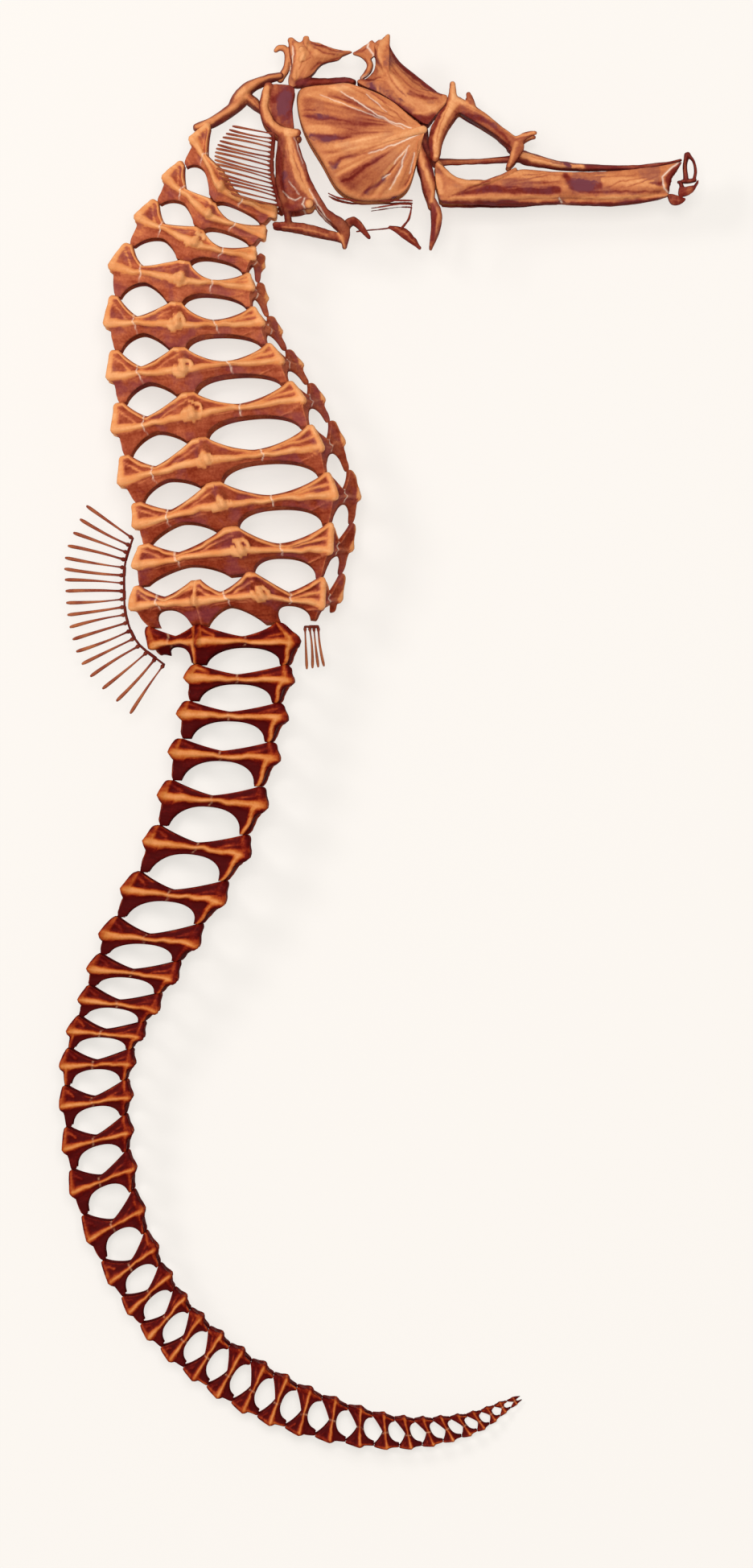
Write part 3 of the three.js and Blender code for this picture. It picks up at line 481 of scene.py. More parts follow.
def face_relief(ring, pair, a, b, length, ahead, behind, scale, vary):
    """Relief of a face between two ridges, and the share of a pale seam. a runs from the first ridge to the
    second and b along the body, in millimetres, and ahead and behind are the distances of the ring's edges.
    Each face has a bar across it, which bows a little, rails along its ridges and edges, and straight stays
    between them."""
    first, second = pair
    on_tail = ring > TRUNK_RINGS
    # nature draws no straight lines: the place that a strut is looked up at wanders by a tenth or two
    lattice = np.stack([a / scale * 0.9, b / scale * 0.9, 0 * a + ring * 7.7 + vary[5] * 9], axis=-1)
    swing = 0.34 * scale * np.sin(np.pi * np.clip(a / length, 0, 1)) ** 0.5
    a = a + swing * (noise(lattice, 21) - 0.5)
    b = b + swing * (noise(lattice, 22) - 0.5) * np.where(np.abs(b) < 0.8 * ahead.max(), 1, 0.3)
    u = np.clip(a / length, 0, 1)
    q = length - a
    web = -0.06 if on_tail else 0.36 - 0.03 * max(ring - 4, 0)
    relief = Relief(b.shape, web)
    strut = relief.strut

    def stay(start, end, width, rise, shade):
        """A straight strut between two places."""
        strut(near_line(a, b, start, end), width, rise, shade)

    k = scale
    front = b + ahead  # distance from the front edge
    front_corner, back_corner = -ahead[0, 0], behind[0, 0]
    front_end, back_end = -ahead[-1, 0], behind[-1, 0]
    seam = {"D": 0.37, "M": 0.47, "S": 0.47, "V": 0.5}.get(first, 0.5) + 0.03 * vary[0]
    bow = (0.1 * vary[1] * np.sin(np.pi * u) + 0.05 * vary[2] * np.sin(2 * np.pi * u)) * k
    waist = np.abs(u - seam) / np.where(u < seam, seam, 1 - seam)
    if on_tail:
        # the tail's square plates: a bar wide at both ends, a horn at the front corner and a rail at the back
        light = 0.9 if ring < 20 else 0.85
        if first == second:
            light *= 0.5  # the tail's front and back are in its own shade
        wide = k * (0.25 + np.where(u < seam, 0.28, 0.13) * waist**1.1)
        strut(np.abs(b - bow), wide, 0.5 * k, light)
        strut(np.where(b < 0, np.abs(a - 0.3 * k), FAR), 0.2 * k, 0.3 * k, 0.66 * light)
        ear = 0.6 if vary[4] > 0.4 else 0.3
        horn = (0.1 * k, 0.85 * front_corner), (0.17 * length, 0.4 * front_corner)
        stay(*horn, 0.22 * k, 0.3 * k, ear * light)
        strut(np.where((u > 0.05) & (u < 0.95), front, FAR), 0.1 * k, 0.1 * k, 0.34)
        back_share = 0.9 if ring < 18 else 0.6 + 0.35 * vary[3]
        front_share = 0.7 if ring < 14 else 0.4 + 0.35 * vary[4]
        rail = np.abs(q - 0.5 * k - 0.12 * k * np.sin(2.2 * b / k + vary[5]))
        strut(np.where(b > -0.1, rail, FAR), 0.24 * k, 0.36 * k, light * max(0.25, back_share))
        strut(np.where(b <= -0.1, rail, FAR), 0.22 * k, 0.34 * k, light * max(0.2, front_share))
        if vary[3] > 0.5:
            stay((0.5 * k, 0.4 * k), (0.25 * k, 0.9 * back_corner), 0.2 * k, 0.25 * k, 0.7)
        stay((0.62 * length, 0), (length - 0.5 * k, 0.55 * front_end), 0.13 * k, 0.15 * k, 0.42)
        # both long edges of the face are darker
        relief.tone *= 1 - 0.6 * np.exp(-((a / (0.2 * k)) ** 2)) - 0.5 * np.exp(-((q / (0.2 * k)) ** 2))
    elif pair in (("V", "K"), ("V", "V"), ("M", "K")):
        # the belly: a thin dark bar
        strut(np.abs(b - bow), 0.26, 0.25, 0.42)
        strut(np.abs(front - 0.15), 0.16, 0.15, 0.4)
        strut(np.where(b < 0.2, a, FAR), 0.42, 0.4, 0.9)
        strut(q, 0.3, 0.2, 0.34)
    elif first == "M":
        # from the side to the belly: a bar between two edge rails, all wider towards their ends
        strut(np.where(u < 0.5, np.abs(front - 0.26), FAR), 0.32 - 0.22 * u, 0.36, 0.74)
        wide = 0.28 + 0.17 * waist**1.3
        strut(np.abs(b - bow - 0.1 + 0.25 * u), wide, 0.46, 0.92)
        stay((0.9, 0.5), (0.38 * length, 0.3), 0.14, 0.12, 0.5)
        strut(np.where(u > 0.46, np.abs(front - 0.28), FAR), 0.12 + 0.3 * (u - 0.45), 0.36, 0.86)
        stay((0.52 * length, -0.2), (length, 0.5 * front_end), 0.17 + 0.2 * np.maximum(u - 0.6, 0), 0.3, 0.76)
        strut(np.where(b < 0.25, q, FAR), 0.42, 0.45, 0.94)
        strut(np.where(b >= 0.25, q, FAR), 0.24, 0.25, 0.55)
        stay((length, 0.3), (0.72 * length, 0.6 * back_end), 0.14, 0.15, 0.5)
    else:
        # from the back to the side: the broadest bar, with a rail along each half of the front edge
        wide = np.where(u < seam, 0.3 + 0.28 * waist**1.2, 0.3 + 0.16 * waist)
        strut(np.abs(b - bow), wide, 0.48, 0.93)
        strut(np.where(b < 0.1, a, FAR), 0.4, 0.4, 0.92)
        strut(np.where(b >= 0.1, a, FAR), 0.18, 0.12, 0.4)
        strut(np.where(u < seam, np.abs(front - 0.24), FAR), 0.26 - 0.2 * u, 0.3, 0.84)
        stay((0.3, 0.72 * front_corner), (0.24 * length, -0.35), 0.17, 0.2, 0.66)
        wide = 0.16 + 0.28 * np.maximum(u - seam, 0)
        strut(np.where(u >= seam, np.abs(front - 0.3), FAR), wide, 0.42, 0.93)
        stay((length - 0.2, 0.66 * front_end), (0.56 * length, -0.2), 0.15, 0.2, 0.6)
        stay((0.15 * length, 0.62), (seam * length + 0.8, 0.42), 0.13, 0.1, 0.44)
        stay((length - 0.5, 0.7), (0.6 * length, 0.55), 0.13, 0.1, 0.4)
    # the seam between two bones of the ring: a thin pale zigzag in a groove
    wander = 0.14 * np.sin(b * 2.6 + 3 * vary[0]) + 0.07 * np.sin(b * 7.5)
    gap = np.abs(a - length * seam - wander * k**0.5)
    strength = 0.4 if on_tail else 0.75
    fading = np.where(b > 0, smooth_step(-b, -0.9, -0.3) * 0.8 + 0.2, 1)
    line = strength * np.exp(-((gap / (0.05 + 0.02 * k)) ** 2)) * fading
    relief.height -= 0.1 * k * np.exp(-((gap / 0.12) ** 2))
    return relief, line


def boss(m, b, ring):
    """The lumps where the trunk's side ridge meets the bar, m millimetres across it: a round knob, and a curl
    of bone beside it that is an arc about its own centre. They differ from ring to ring."""
    change = np.sin(ring * np.array([2.1, 3.7, 5.3, 1.3]))
    place = np.stack([m, b, 0 * m + ring], axis=-1)
    m = m + 0.55 * (noise(place * 1.3, 31) - 0.5) + 0.3 * (noise(place * 3.1, 33) - 0.5)
    b = b + 0.5 * (noise(place * 1.3, 32) - 0.5) + 0.3 * (noise(place * 3.1, 34) - 0.5)
    knob = np.exp(-(np.hypot((m + 0.5) / (0.95 + 0.15 * change[0]), (b - 0.12) / 0.66) ** 4))
    middle = 0.35 + 0.2 * change[1], -0.5 + 0.15 * change[2]
    turn = np.arctan2(b - middle[1], m - middle[0])
    curl = np.abs(np.hypot(m - middle[0], b - middle[1]) - 0.55)
    curl = np.exp(-((curl / 0.36) ** 4)) * smooth_step(turn, -2.7, -2.2)
    curl = curl * smooth_step(-turn, -0.9 - 0.8 * change[3], -0.3)
    foot = np.exp(-(np.hypot((m - 0.3) / 0.7, (b - 0.18) / 0.42) ** 4))
    return np.maximum(np.maximum(0.55 * knob, 0.4 * curl), 0.4 * foot)


SETTLED = 0.9  # share of a point's height that the ridge sinks ahead of it
TRUNK_STEP = 0.5  # and the further share at the back edge of a trunk ring
TAIL_STEP = 0.35
TRUNK_DEPTH = 11.5  # depth of the body, in millimetres, at which a ring's relief has its full size


def sunk(name, side, t, offset):
    """A ridge's line without its points: in from the tips by a share of their height, which grows over the
    ring's back half, so that the next ring's front edge stands over it."""
    p = ridge(name, side, t)
    step = np.where((t > 11.8) | (name == "K"), TAIL_STEP, TRUNK_STEP)
    share = SETTLED + step * np.maximum(0, offset / 0.5)
    return p - unit(p - centre(t)) * (tubercle_height(name, t) * share)[..., None]


def ring_scale(ring):
    """Size of a ring against the trunk's, from the body's depth there."""
    depth = TRUNK_DEPTH if ring <= TRUNK_RINGS else float(tail_plan(ring)[2])
    return min(1.0, max(0.2, depth / TRUNK_DEPTH))


def add_point(ring, name, distance, offset, scale, h, tone):
    """Height and tone with a ridge's point added: it rises over 0.45 of a ring from the front and drops
    off behind, on a bell of the distance from the ridge. The tail's side ridge also has a raised lobe, which
    on some rings is darkened with painted shade, as if its side lay in shadow."""
    on_tail = ring > TRUNK_RINGS
    tall = SETTLED * float(np.ravel(tubercle_height(name, np.array([float(ring)])))[0])
    wide = (0.34 if on_tail else 0.5) * scale + 0.1
    rise = np.where(offset < 0, 1 + offset / 0.45, np.exp(-((offset / 0.11) ** 2)))
    bell = np.exp(-((distance / wide) ** 2))
    point = tall * np.clip(rise, 0, 1) * bell
    h = np.maximum(h, point + 0.25 * scale * bell * (offset < 0.1))
    crown = 0.35 if on_tail else 0.92
    tone = np.maximum(tone, crown * smooth_step(point, 0.4 * tall, 0.7 * tall))
    if on_tail and name == "M":
        lobe = 0.42 * scale * np.exp(-((distance / (0.75 * scale)) ** 2))
        lobe = lobe * np.exp(-(((offset - 0.03) / 0.2) ** 4))
        h = h + lobe
        # painted shade: on some rings the raised lobe is darkened, as if its side lay in shadow
        painted_lobe_shade = smooth_step(lobe, 0.3 * scale, 0.4 * scale) * (np.sin(2.3 * ring) > 0.2)
        tone = tone * (1 - 0.6 * painted_lobe_shade)
    return h, tone


def ring_face(ring, start, end, column, v):
    """One face of a ring, from the ridge at start to the one at end: its points without relief, and their
    height, tone, line and grain. Columns go across it and rows along the body."""
    (name, side, kind), (other, other_side, _) = start, end
    on_tail = ring > TRUNK_RINGS
    scale = ring_scale(ring)
    here = np.array([float(ring)])
    length = float(np.linalg.norm(ridge(name, side, here) - ridge(other, other_side, here)))
    count = max(8, round(length / column))
    u = np.arange(count) / count
    share = 1 - u if side < 0 else u
    joints = float(joint_ahead(ring)[0]), float(joint_ahead(ring + 1)[0])
    underlap = 0.6 * UNDERLAP if on_tail else UNDERLAP
    ahead = reach(kind, "front", share, joints[0], ring)
    behind = reach(kind, "back", share, 1 + underlap - joints[1], ring)
    if ring in ENDED:
        first, last = (0.5 if ridge_name in ENDED[ring] else 1.0 for ridge_name in (name, other))
        behind = behind * (first + (last - first) * smooth_step(u, 0.0, 1.0))
    offset = np.where(v < 0, v * ahead[:, None], v * behind[:, None])
    t = ring + offset
    across = u[:, None, None]
    p = sunk(name, side, t, offset) * (1 - across) + sunk(other, other_side, t, offset) * across
    p[..., 2] += lift(t)[..., 0]
    pitches = [
        np.linalg.norm(ridge(*line, here + 0.5) - ridge(*line, here - 0.5)) for line in (start[:2], end[:2])
    ]
    pitch = (pitches[0] * (1 - u) + pitches[1] * u)[:, None]
    b = offset * pitch
    a = np.broadcast_to((u * length)[:, None], b.shape)
    vary = rng.uniform(-1, 1, 6)
    # both sides' faces are worked out from the back of the body to its belly
    turn = slice(None, None, -1) if side < 0 else slice(None)
    pair, along_face = ((other, name), length - a) if side < 0 else ((name, other), a)
    edges = [(ahead[:, None] * pitch)[turn], (behind[:, None] * pitch)[turn]]
    relief, line = face_relief(ring, pair, along_face[turn], b[turn], length, *edges, scale, vary)
    h, tone = relief.height[turn], relief.tone[turn]
    for which, distance in ((name, a), (other, length - a)):
        h, tone = add_point(ring, which, distance, offset, scale, h, tone)
    if 2 < ring <= TRUNK_RINGS and "M" in (name, other) and name != "V":
        rise = boss((a if name == "M" else a - length) * side, b, float(ring))
        h = np.maximum(h, rise)
        tone = np.maximum(tone, 0.97 * smooth_step(rise, 0.09, 0.36))
    grain = np.stack([a * 0.35 + rng.uniform(0, 40), b * 2.6, 0 * a + ring * 3.1], axis=-1)
    return p, h, tone, line[turn], grain


def outwards(quads, points, middle):
    """The faces in the order of corners that turns them away from the middle."""
    corner = points[quads] - middle
    volume = np.einsum("ij,ij->i", corner[:, 0], np.cross(corner[:, 1], corner[:, 2]))
    return quads[:, ::-1] if volume.sum() < 0 else quads


def armour_ring(ring, column, rows):
    """A closed band round the body. Columns go round the loop of ridges, rows along the body. A point is the
    straight line between two ridges, raised along the surface's normal by the relief, and the band has the
    thickness of a plate with rounded edges."""
    on_tail = ring > TRUNK_RINGS
    scale = ring_scale(ring)
    thick = max(0.13, 0.42 * scale)
    v = np.sin(np.linspace(-math.pi / 2, math.pi / 2, rows))
    loop = loop_of(ring)
    faces = [ring_face(ring, start, end, column, v) for start, end in zip(loop, loop[1:] + loop[:1])]
    p, h, tone, line, grain = (np.concatenate(values) for values in zip(*faces))
    along = np.gradient(p, axis=1)
    around = (np.roll(p, -1, axis=0) - np.roll(p, 1, axis=0)) / 2
    normal = unit(np.cross(around, along))
    middle = p.mean(axis=(0, 1))
    if np.sum(normal * (p - middle)) < 0:
        normal = -normal
    normal = unit(sum(np.roll(normal, j, axis=0) for j in range(-4, 5)))
    # lumps of two sizes, cloudy tones, and streaks along the struts where these are light
    h = h + 0.1 * scale * (noise(p * 1.5, ring) - 0.5)
    h = h + 0.05 * scale * (noise(grain * [2, 1, 1], ring + 60) - 0.5)
    tone = tone + 0.14 * (noise(p * 1.1, ring + 30) - 0.5)
    tone = tone + 0.3 * (noise(grain * [1.7, 1.3, 1], ring + 90) - 0.5) * smooth_step(tone, 0.1, 0.6)
    edge = np.sqrt(1 - np.abs(v) ** 9)[None, :]
    outer = p + normal * ((-thick / 2 + (h + thick / 2) * edge)[..., None])
    inner = p - normal * ((thick / 2 + thick / 2 * edge)[..., None])

    def band(values, inside):
        """Values of the outer face, then those of the inner one in the opposite direction."""
        return np.concatenate([values, inside[:, -2:0:-1]], axis=1)

    section = band(outer, inner)
    points = section.reshape(-1, 3)
    tone = band(tone, np.full(tone.shape, 0.02 if on_tail else 0.3))
    attributes = {
        "tone": np.clip(tone, -0.2, 1).ravel(),
        "line": band(line, 0 * line).ravel(),
        "grain": band(grain, grain).reshape(-1, 3),
        "blotch": (0.7 * (tone < 0.6) * (not on_tail)).ravel(),
    }
    quads = outwards(grid_quads(*section.shape[:2], True, True), points, middle)
    return points, quads, attributes


# Millimetres between columns, and the number of rows along the body.
TRUNK_GRID = 0.13, 33
TAIL_GRID = 0.18, 21
TIP_GRID = 0.12, 15

for ring in range(1, TIP_FROM):
    trunk = ring <= TRUNK_RINGS
    node = f"trunk_ring_{ring:02d}" if trunk else f"tail_ring_{ring - TRUNK_RINGS:02d}"
    points, quads, attributes = armour_ring(ring, *(TRUNK_GRID if trunk else TAIL_GRID))
    finish = ARMOUR if trunk else TAIL_ARMOUR
    make_piece(f"{node}_bone", points, quads, finish, attributes, [node])

tips = [armour_ring(ring, *TIP_GRID) for ring in range(TIP_FROM, LAST_RING + 1)]
points, quads = join([tip[:2] for tip in tips])
attributes = {key: np.concatenate([tip[2][key] for tip in tips]) for key in tips[0][2]}
make_piece("tail_tip_bone", points, quads, TAIL_ARMOUR, attributes, ["tail_tip"])


# ---------------------------------------------------------------- skull tools
# Heights of skull rows are over the head's middle plane. Radii and half widths are in millimetres.
def limb(rows, sides=22, spacing=0.16):
    """Tapered limb through rows [x, y, z, radius in plan, radius in height], with a rounded end at each side:
    an ellipse carried along a cubic through the rows. A row with one radius is round."""
    rows = np.array([list(r) + [r[3]] * (5 - len(r)) for r in rows], float)
    steps = np.linalg.norm(np.diff(rows[:, :3], axis=0), axis=1)
    t = np.concatenate([[0], np.cumsum(steps)])
    at = curve(np.column_stack([t, rows]))
    count = max(4, int(t[-1] / spacing))
    body = at(np.linspace(0, t[-1], count))
    tangent = unit(np.gradient(body[:, :3], axis=0))
    # a rounded end is four more sections, by shares of the end's radius further out
    caps = np.array([0.35, 0.7, 0.9, 1.0])
    station = np.concatenate([np.zeros(4, int), np.arange(count), np.full(4, count - 1)])
    further = np.concatenate([-caps[::-1], np.zeros(count), caps])[:, None]
    direction = tangent[station]
    place = body[station, :3] + direction * body[station, 3:4] * further
    size = body[station, 3:5] * np.sqrt(1 - further * further)
    up = np.where(np.abs(direction[:, 2:3]) > 0.85, [[1.0, 0, 0]], [[0, 0, 1.0]])
    across = unit(np.cross(direction, up))
    over = unit(np.cross(across, direction))
    a = (np.arange(sides) * 2 * math.pi / sides)[None, :, None]
    around = across[:, None] * (np.cos(a) * size[:, None, :1])
    around = around + over[:, None] * (np.sin(a) * size[:, None, 1:])
    points = place[:, None] + around
    return points.reshape(-1, 3), grid_quads(len(station), sides, False, True)


def mirrored(rows):
    """A round limb's rows on the other side of the middle plane."""
    return [[x, y, -z, r] for x, y, z, r in rows]


def closed_curve(rows, count):
    """Smooth closed line through rows: the cubic of a run that starts before the first and ends after the
    last."""
    rows = np.asarray(rows, float)
    wrapped = np.concatenate([rows[-3:], rows, rows[:4]])
    at = curve(np.column_stack([np.arange(len(wrapped)) - 3.0, wrapped]))
    return at(np.arange(count) / count * len(rows))


def plate(rows, hub, thickness, count=120, steps=22):
    """Domed plate over an outline of rows [x, y, z of the outer face]: each ring of points is the outline
    shrunk towards the hub by s, at the height hub + (edge - hub) s squared. The inner face is a thickness
    below, or the mirror image where there is none."""
    outline = closed_curve(rows, count)
    hub = np.asarray(hub, float)
    s = np.linspace(0, 1, steps)[:, None, None]
    outer = np.empty((steps, count, 3))
    outer[..., :2] = hub[:2] + (outline[:, :2] - hub[:2]) * s
    outer[..., 2] = hub[2] + (outline[:, 2] - hub[2]) * s[..., 0] ** 2
    inner = outer.copy()
    inner[..., 2] = -outer[..., 2] if thickness is None else outer[..., 2] - thickness
    both = np.concatenate([outer, inner[::-1]])
    return both.reshape(-1, 3), grid_quads(2 * steps, count, False, True)


def fused(parts, voxel):
    """The parts' union as one even skin: voxels of that size, then a few rounds of smoothing."""
    points, quads = join(parts)
    mesh = bpy.data.meshes.new("union")
    mesh.from_pydata(points.tolist(), [], quads.tolist())
    helper = bpy.data.objects.new("union", mesh)
    bpy.context.scene.collection.objects.link(helper)
    remesh = helper.modifiers.new("voxels", "REMESH")
    remesh.mode = "VOXEL"
    remesh.voxel_size = voxel
    smooth = helper.modifiers.new("smooth", "SMOOTH")
    smooth.factor = 0.5
    smooth.iterations = 4
    result = helper.evaluated_get(bpy.context.evaluated_depsgraph_get()).to_mesh()
    points = np.empty(len(result.vertices) * 3, np.float32)
    result.vertices.foreach_get("co", points)
    normals = np.empty_like(points)
    result.vertex_normals.foreach_get("vector", normals)
    quads = np.empty(len(result.loops), np.int32)
    result.loops.foreach_get("vertex_index", quads)
    bpy.data.objects.remove(helper)
    bpy.data.meshes.remove(mesh)
    return points.reshape(-1, 3).astype(float), normals.reshape(-1, 3).astype(float), quads.reshape(-1, 4)


def stroke(x, y, rows, soft=0.06):
    """Share from 0 to 1 to which plan points lie on a line through rows [x, y, half width]:
    1/(1 + e^(d/soft)), d being the distance beyond the half width. Thin lines fade over less."""
    rows = np.asarray(rows, float)
    soft = min(soft, 0.012 + 0.4 * rows[:, 2].max())
    near = np.full(x.shape, 9.0)
    for first, second in zip(rows[:-1], rows[1:]):
        d = second[:2] - first[:2]
        s = np.clip(((x - first[0]) * d[0] + (y - first[1]) * d[1]) / (d @ d + 1e-9), 0, 1)
        width = first[2] + (second[2] - first[2]) * s
        near = np.minimum(near, np.hypot(x - first[0] - s * d[0], y - first[1] - s * d[1]) - width)
    return 1 / (1 + np.exp(np.clip(near / soft, -30, 30)))


def marked(x, y, base, tones, stains=(), lines=()):
    """Tone, stain and line of plan points after the marks are laid over the base tone in turn. Each is a
    value and the rows of a stroke, its edges wandering by a tenth of a millimetre."""
    places = [np.stack([x * scale, y * scale, 0 * x], axis=-1) for scale in (1.6, 5.0)]
    px, py = (
        plain + 0.16 * (noise(places[0], seed) - 0.5) + 0.07 * (noise(places[1], seed + 1) - 0.5)
        for plain, seed in ((x, 41), (y, 43))
    )
    tone, stain, line = np.full(x.shape, float(base)), np.zeros(x.shape), np.zeros(x.shape)
    for value, rows in tones:
        tone = tone + (value - tone) * stroke(px, py, rows)
    for value, rows in stains:
        stain = np.maximum(stain, value * stroke(px, py, rows, 0.12))
    for value, rows in lines:
        line = np.maximum(line, value * stroke(px, py, rows, 0.03))
    return tone, stain, line


def skull_sides(nodes, points, quads, attributes):
    """A piece for each node: the first on the right of the head's middle plane, the second mirrored."""
    for node, side in zip(nodes, (1, -1)):
        placed = points * [1, 1, side] + [0, 0, HEAD_LIFT]
        order = quads if side > 0 else quads[:, ::-1]
        make_piece(f"{node}_bone", placed, order, SKULL, attributes, [node])


def skull_piece(nodes, parts, base, tones, grain_angle, blotch, stains=(), lines=(), voxel=0.096):
    """A fused bone on its place in the head, marked, with fibres along grain_angle, on the right and, where a
    second node is named, mirrored on the left. Faces that turn away from above are darker, with painted
    shade, and a light mark stands up by a fraction of its tone."""
    points, normals, quads = fused(parts, voxel)
    tone, stain, line = marked(points[:, 0], points[:, 1], base, tones, stains, lines)
    a = math.radians(grain_angle)
    along = points[:, 0] * math.cos(a) + points[:, 1] * math.sin(a)
    across = -points[:, 0] * math.sin(a) + points[:, 1] * math.cos(a)
    fibres = noise(np.stack([along * 0.5, across * 2.8, points[:, 2] * 1.2], axis=-1), 5) - 0.5
    lumps = noise(points * 1.3, 9) - 0.5
    raised = 0.16 * (np.clip(tone, 0, 1) - 0.6) - 0.08 * line
    facing = np.clip(np.abs(normals[:, 2]), 0, 1)
    points = points + normals * (0.09 * fibres + 0.08 * lumps + np.minimum(raised, 0.03) * facing)[:, None]
    # painted shade: the tone darkens where a face turns away from above
    tone = tone * (1 - 0.72 * smooth_step(1 - facing, 0.3, 0.8)) + 0.12 * lumps + 0.16 * fibres
    cloudy = np.clip(1.5 * noise(points * 4.5, 13) - 0.1, 0, 1)
    attributes = {
        "tone": np.clip(tone, 0, 1),
        "line": line * smooth_step(facing, 0.2, 0.5),
        "grain": np.stack([along * 0.35, across * 2.4, points[:, 2]], axis=-1),
        "blotch": np.where(stain > 0.05, 1 + 0.8 * stain * cloudy, blotch * (tone < 0.62)),
    }
    skull_sides(nodes, points, quads, attributes)


# ---------------------------------------------------------------- skull bones
# Each bone is its limbs and plates, then its marks: a value from 0, dark, to 1, light, and the stroke's rows.
crest = [
    [1.11, 74.54, 0, 0.26, 0.4], [1.01, 73.48, 0, 0.35, 0.6], [1.92, 71.9, 0, 0.35, 0.9],
    [3.62, 70.38, 0, 0.35, 1.4], [6.05, 68.5, 0, 0.35, 2.2],
]
crown = [
    [0.81, 74.33, 0, 0.3, 0.5], [0.41, 73.48, 0, 0.55, 0.8], [0.47, 71.9, 0, 0.7, 1.6],
    [0.59, 70.44, 0, 0.6, 2.4], [1.2, 69.1, 0, 0.5, 3.0],
]
inner_limb = [
    [-2.45, 72.81, 0, 0.2, 0.35], [-1.6, 72.57, 0, 0.26, 0.4], [-0.97, 72.02, 0, 0.34, 0.5],
    [-0.83, 71.41, 0, 0.36, 0.6], [-1.23, 70.62, 0, 0.28, 0.7], [-1.69, 70.22, 0, 0.22, 0.8],
]
cranium_outline = [
    [0.81, 74.69, 0.4], [1.07, 74.88, 0.45], [1.34, 74.64, 0.45], [1.16, 73.72, 0.6], [1.5, 72.5, 0.8],
    [2.41, 71.65, 1.0], [3.62, 70.66, 1.3], [4.84, 69.71, 1.6], [6.05, 68.76, 1.9], [6.72, 68.35, 2.1],
    [7.33, 68.13, 2.3], [7.09, 67.16, 2.5], [6.3, 66.31, 2.7], [5.51, 65.34, 2.8], [5.14, 65.1, 2.8],
    [4.23, 65.58, 2.9], [3.02, 66.49, 3.0], [1.8, 67.4, 3.1], [0.95, 67.95, 3.1], [-0.02, 68.56, 2.9],
    [-1.23, 69.04, 2.6], [-2.14, 69.59, 2.2], [-1.96, 69.92, 2.0], [-1.23, 70.02, 1.6], [-0.56, 70.68, 1.2],
    [-0.2, 71.65, 1.0], [-0.32, 72.63, 0.8], [-0.38, 73.72, 0.6], [-0.02, 74.18, 0.5], [0.53, 74.33, 0.5],
]
strut_outline = [
    [-2.54, 72.93, 0.3], [-1.84, 73.33, 0.35], [-1.05, 73.9, 0.4], [-0.56, 74.23, 0.4], [-0.32, 73.72, 0.5],
    [-0.29, 72.75, 0.6], [-0.69, 72.26, 0.5], [-1.23, 72.38, 0.45], [-1.96, 72.6, 0.35],
]
skull_piece(
    ["cranium"],
    [
        plate(cranium_outline, [1.2, 69.59, 2.9], None), plate(strut_outline, [-0.93, 73.17, 0.6], None),
        limb(crest), limb(crown), limb(inner_limb),
    ],
    base=0.6, grain_angle=-45, blotch=0.5,
    tones=[
        (0.84, [[0.95, 74.75, 0.25], [0.59, 73.96, 0.36], [0.22, 72.87, 0.34], [0.16, 71.78, 0.32],
            [0.35, 70.68, 0.3]]),
        (0.8, [[1.2, 70.08, 0.45], [2.17, 68.86, 0.5], [3.38, 67.65, 0.5], [4.6, 66.92, 0.35],
            [6.05, 66.92, 0.25]]),
        (0.05, [[1.29, 73.6, 0.08], [1.66, 72.69, 0.22], [2.31, 71.84, 0.32], [3.38, 70.87, 0.36],
            [4.6, 69.83, 0.32], [5.93, 68.68, 0.24], [6.66, 68.28, 0.1]]),
        (0.3, [[1.26, 71.78, 0.02], [1.92, 70.68, 0.05], [2.9, 69.59, 0.06], [3.87, 68.74, 0.03]]),
        (0.28, [[1.5, 71.9, 0.02], [2.41, 70.93, 0.05], [3.5, 69.95, 0.06], [4.72, 68.98, 0.05],
            [5.81, 68.13, 0.02]]),
        (0.34, [[0.89, 71.17, 0.02], [1.2, 70.08, 0.05], [1.92, 69.1, 0.06], [3.02, 68.13, 0.04]]),
        (0.4, [[-0.02, 73.72, 0.02], [-0.14, 72.75, 0.04], [-0.02, 71.9, 0.03], [0.47, 71.05, 0.03]]),
        (0.1, [[3.38, 68.62, 0.04], [4.23, 68.13, 0.14], [5.2, 67.89, 0.12], [6.3, 67.79, 0.04]]),
        (0.08, [[1.2, 67.95, 0.08], [1.92, 67.28, 0.18], [3.02, 66.49, 0.26], [4.23, 65.83, 0.42],
            [5.14, 65.52, 0.42], [6.05, 66.19, 0.2]]),
        (0.84, [[3.75, 66.37, 0.08], [4.84, 66.34, 0.1], [5.93, 66.7, 0.1], [7.15, 67.53, 0.08]]),
        (0.38, [[1.69, 70.54, 0.03], [3.78, 68.8, 0.07], [6.1, 68.03, 0.04]]),
        (0.3, [[3.08, 68.4, 0.04], [4.48, 67.89, 0.1], [5.87, 67.7, 0.04]]),
        (0.26, [[-1.96, 69.77, 0.08], [-0.87, 69.81, 0.1], [0.22, 70.1, 0.08]]),
        (0.82, [[-0.75, 69.63, 0.03], [0.22, 69.93, 0.05], [0.95, 69.77, 0.04]]),
        (0.2, [[-2.33, 72.89, 0.06], [-1.48, 73.05, 0.12], [-0.99, 73.48, 0.08]]),
        (0.25, [[-1.35, 72.26, 0.04], [-1.09, 71.65, 0.06], [-1.35, 70.68, 0.05]]),
    ],
    stains=[
        (0.75, [[-0.99, 69.19, 0.2], [0.76, 68.21, 0.32], [2.15, 67.24, 0.3], [3.66, 66.4, 0.16]]),
        (0.9, [[-1.11, 69.41, 0.18], [-0.02, 68.96, 0.34], [0.95, 68.35, 0.26]]),
    ],
    lines=[
        (0.95, [[-0.97, 73.86, 0.04], [-1.05, 73.48, 0.06], [-0.48, 72.72, 0.06], [-0.27, 71.9, 0.06],
            [-0.48, 71.17, 0.06], [-0.99, 70.56, 0.05], [-1.66, 70.16, 0.03]]),
    ],
)

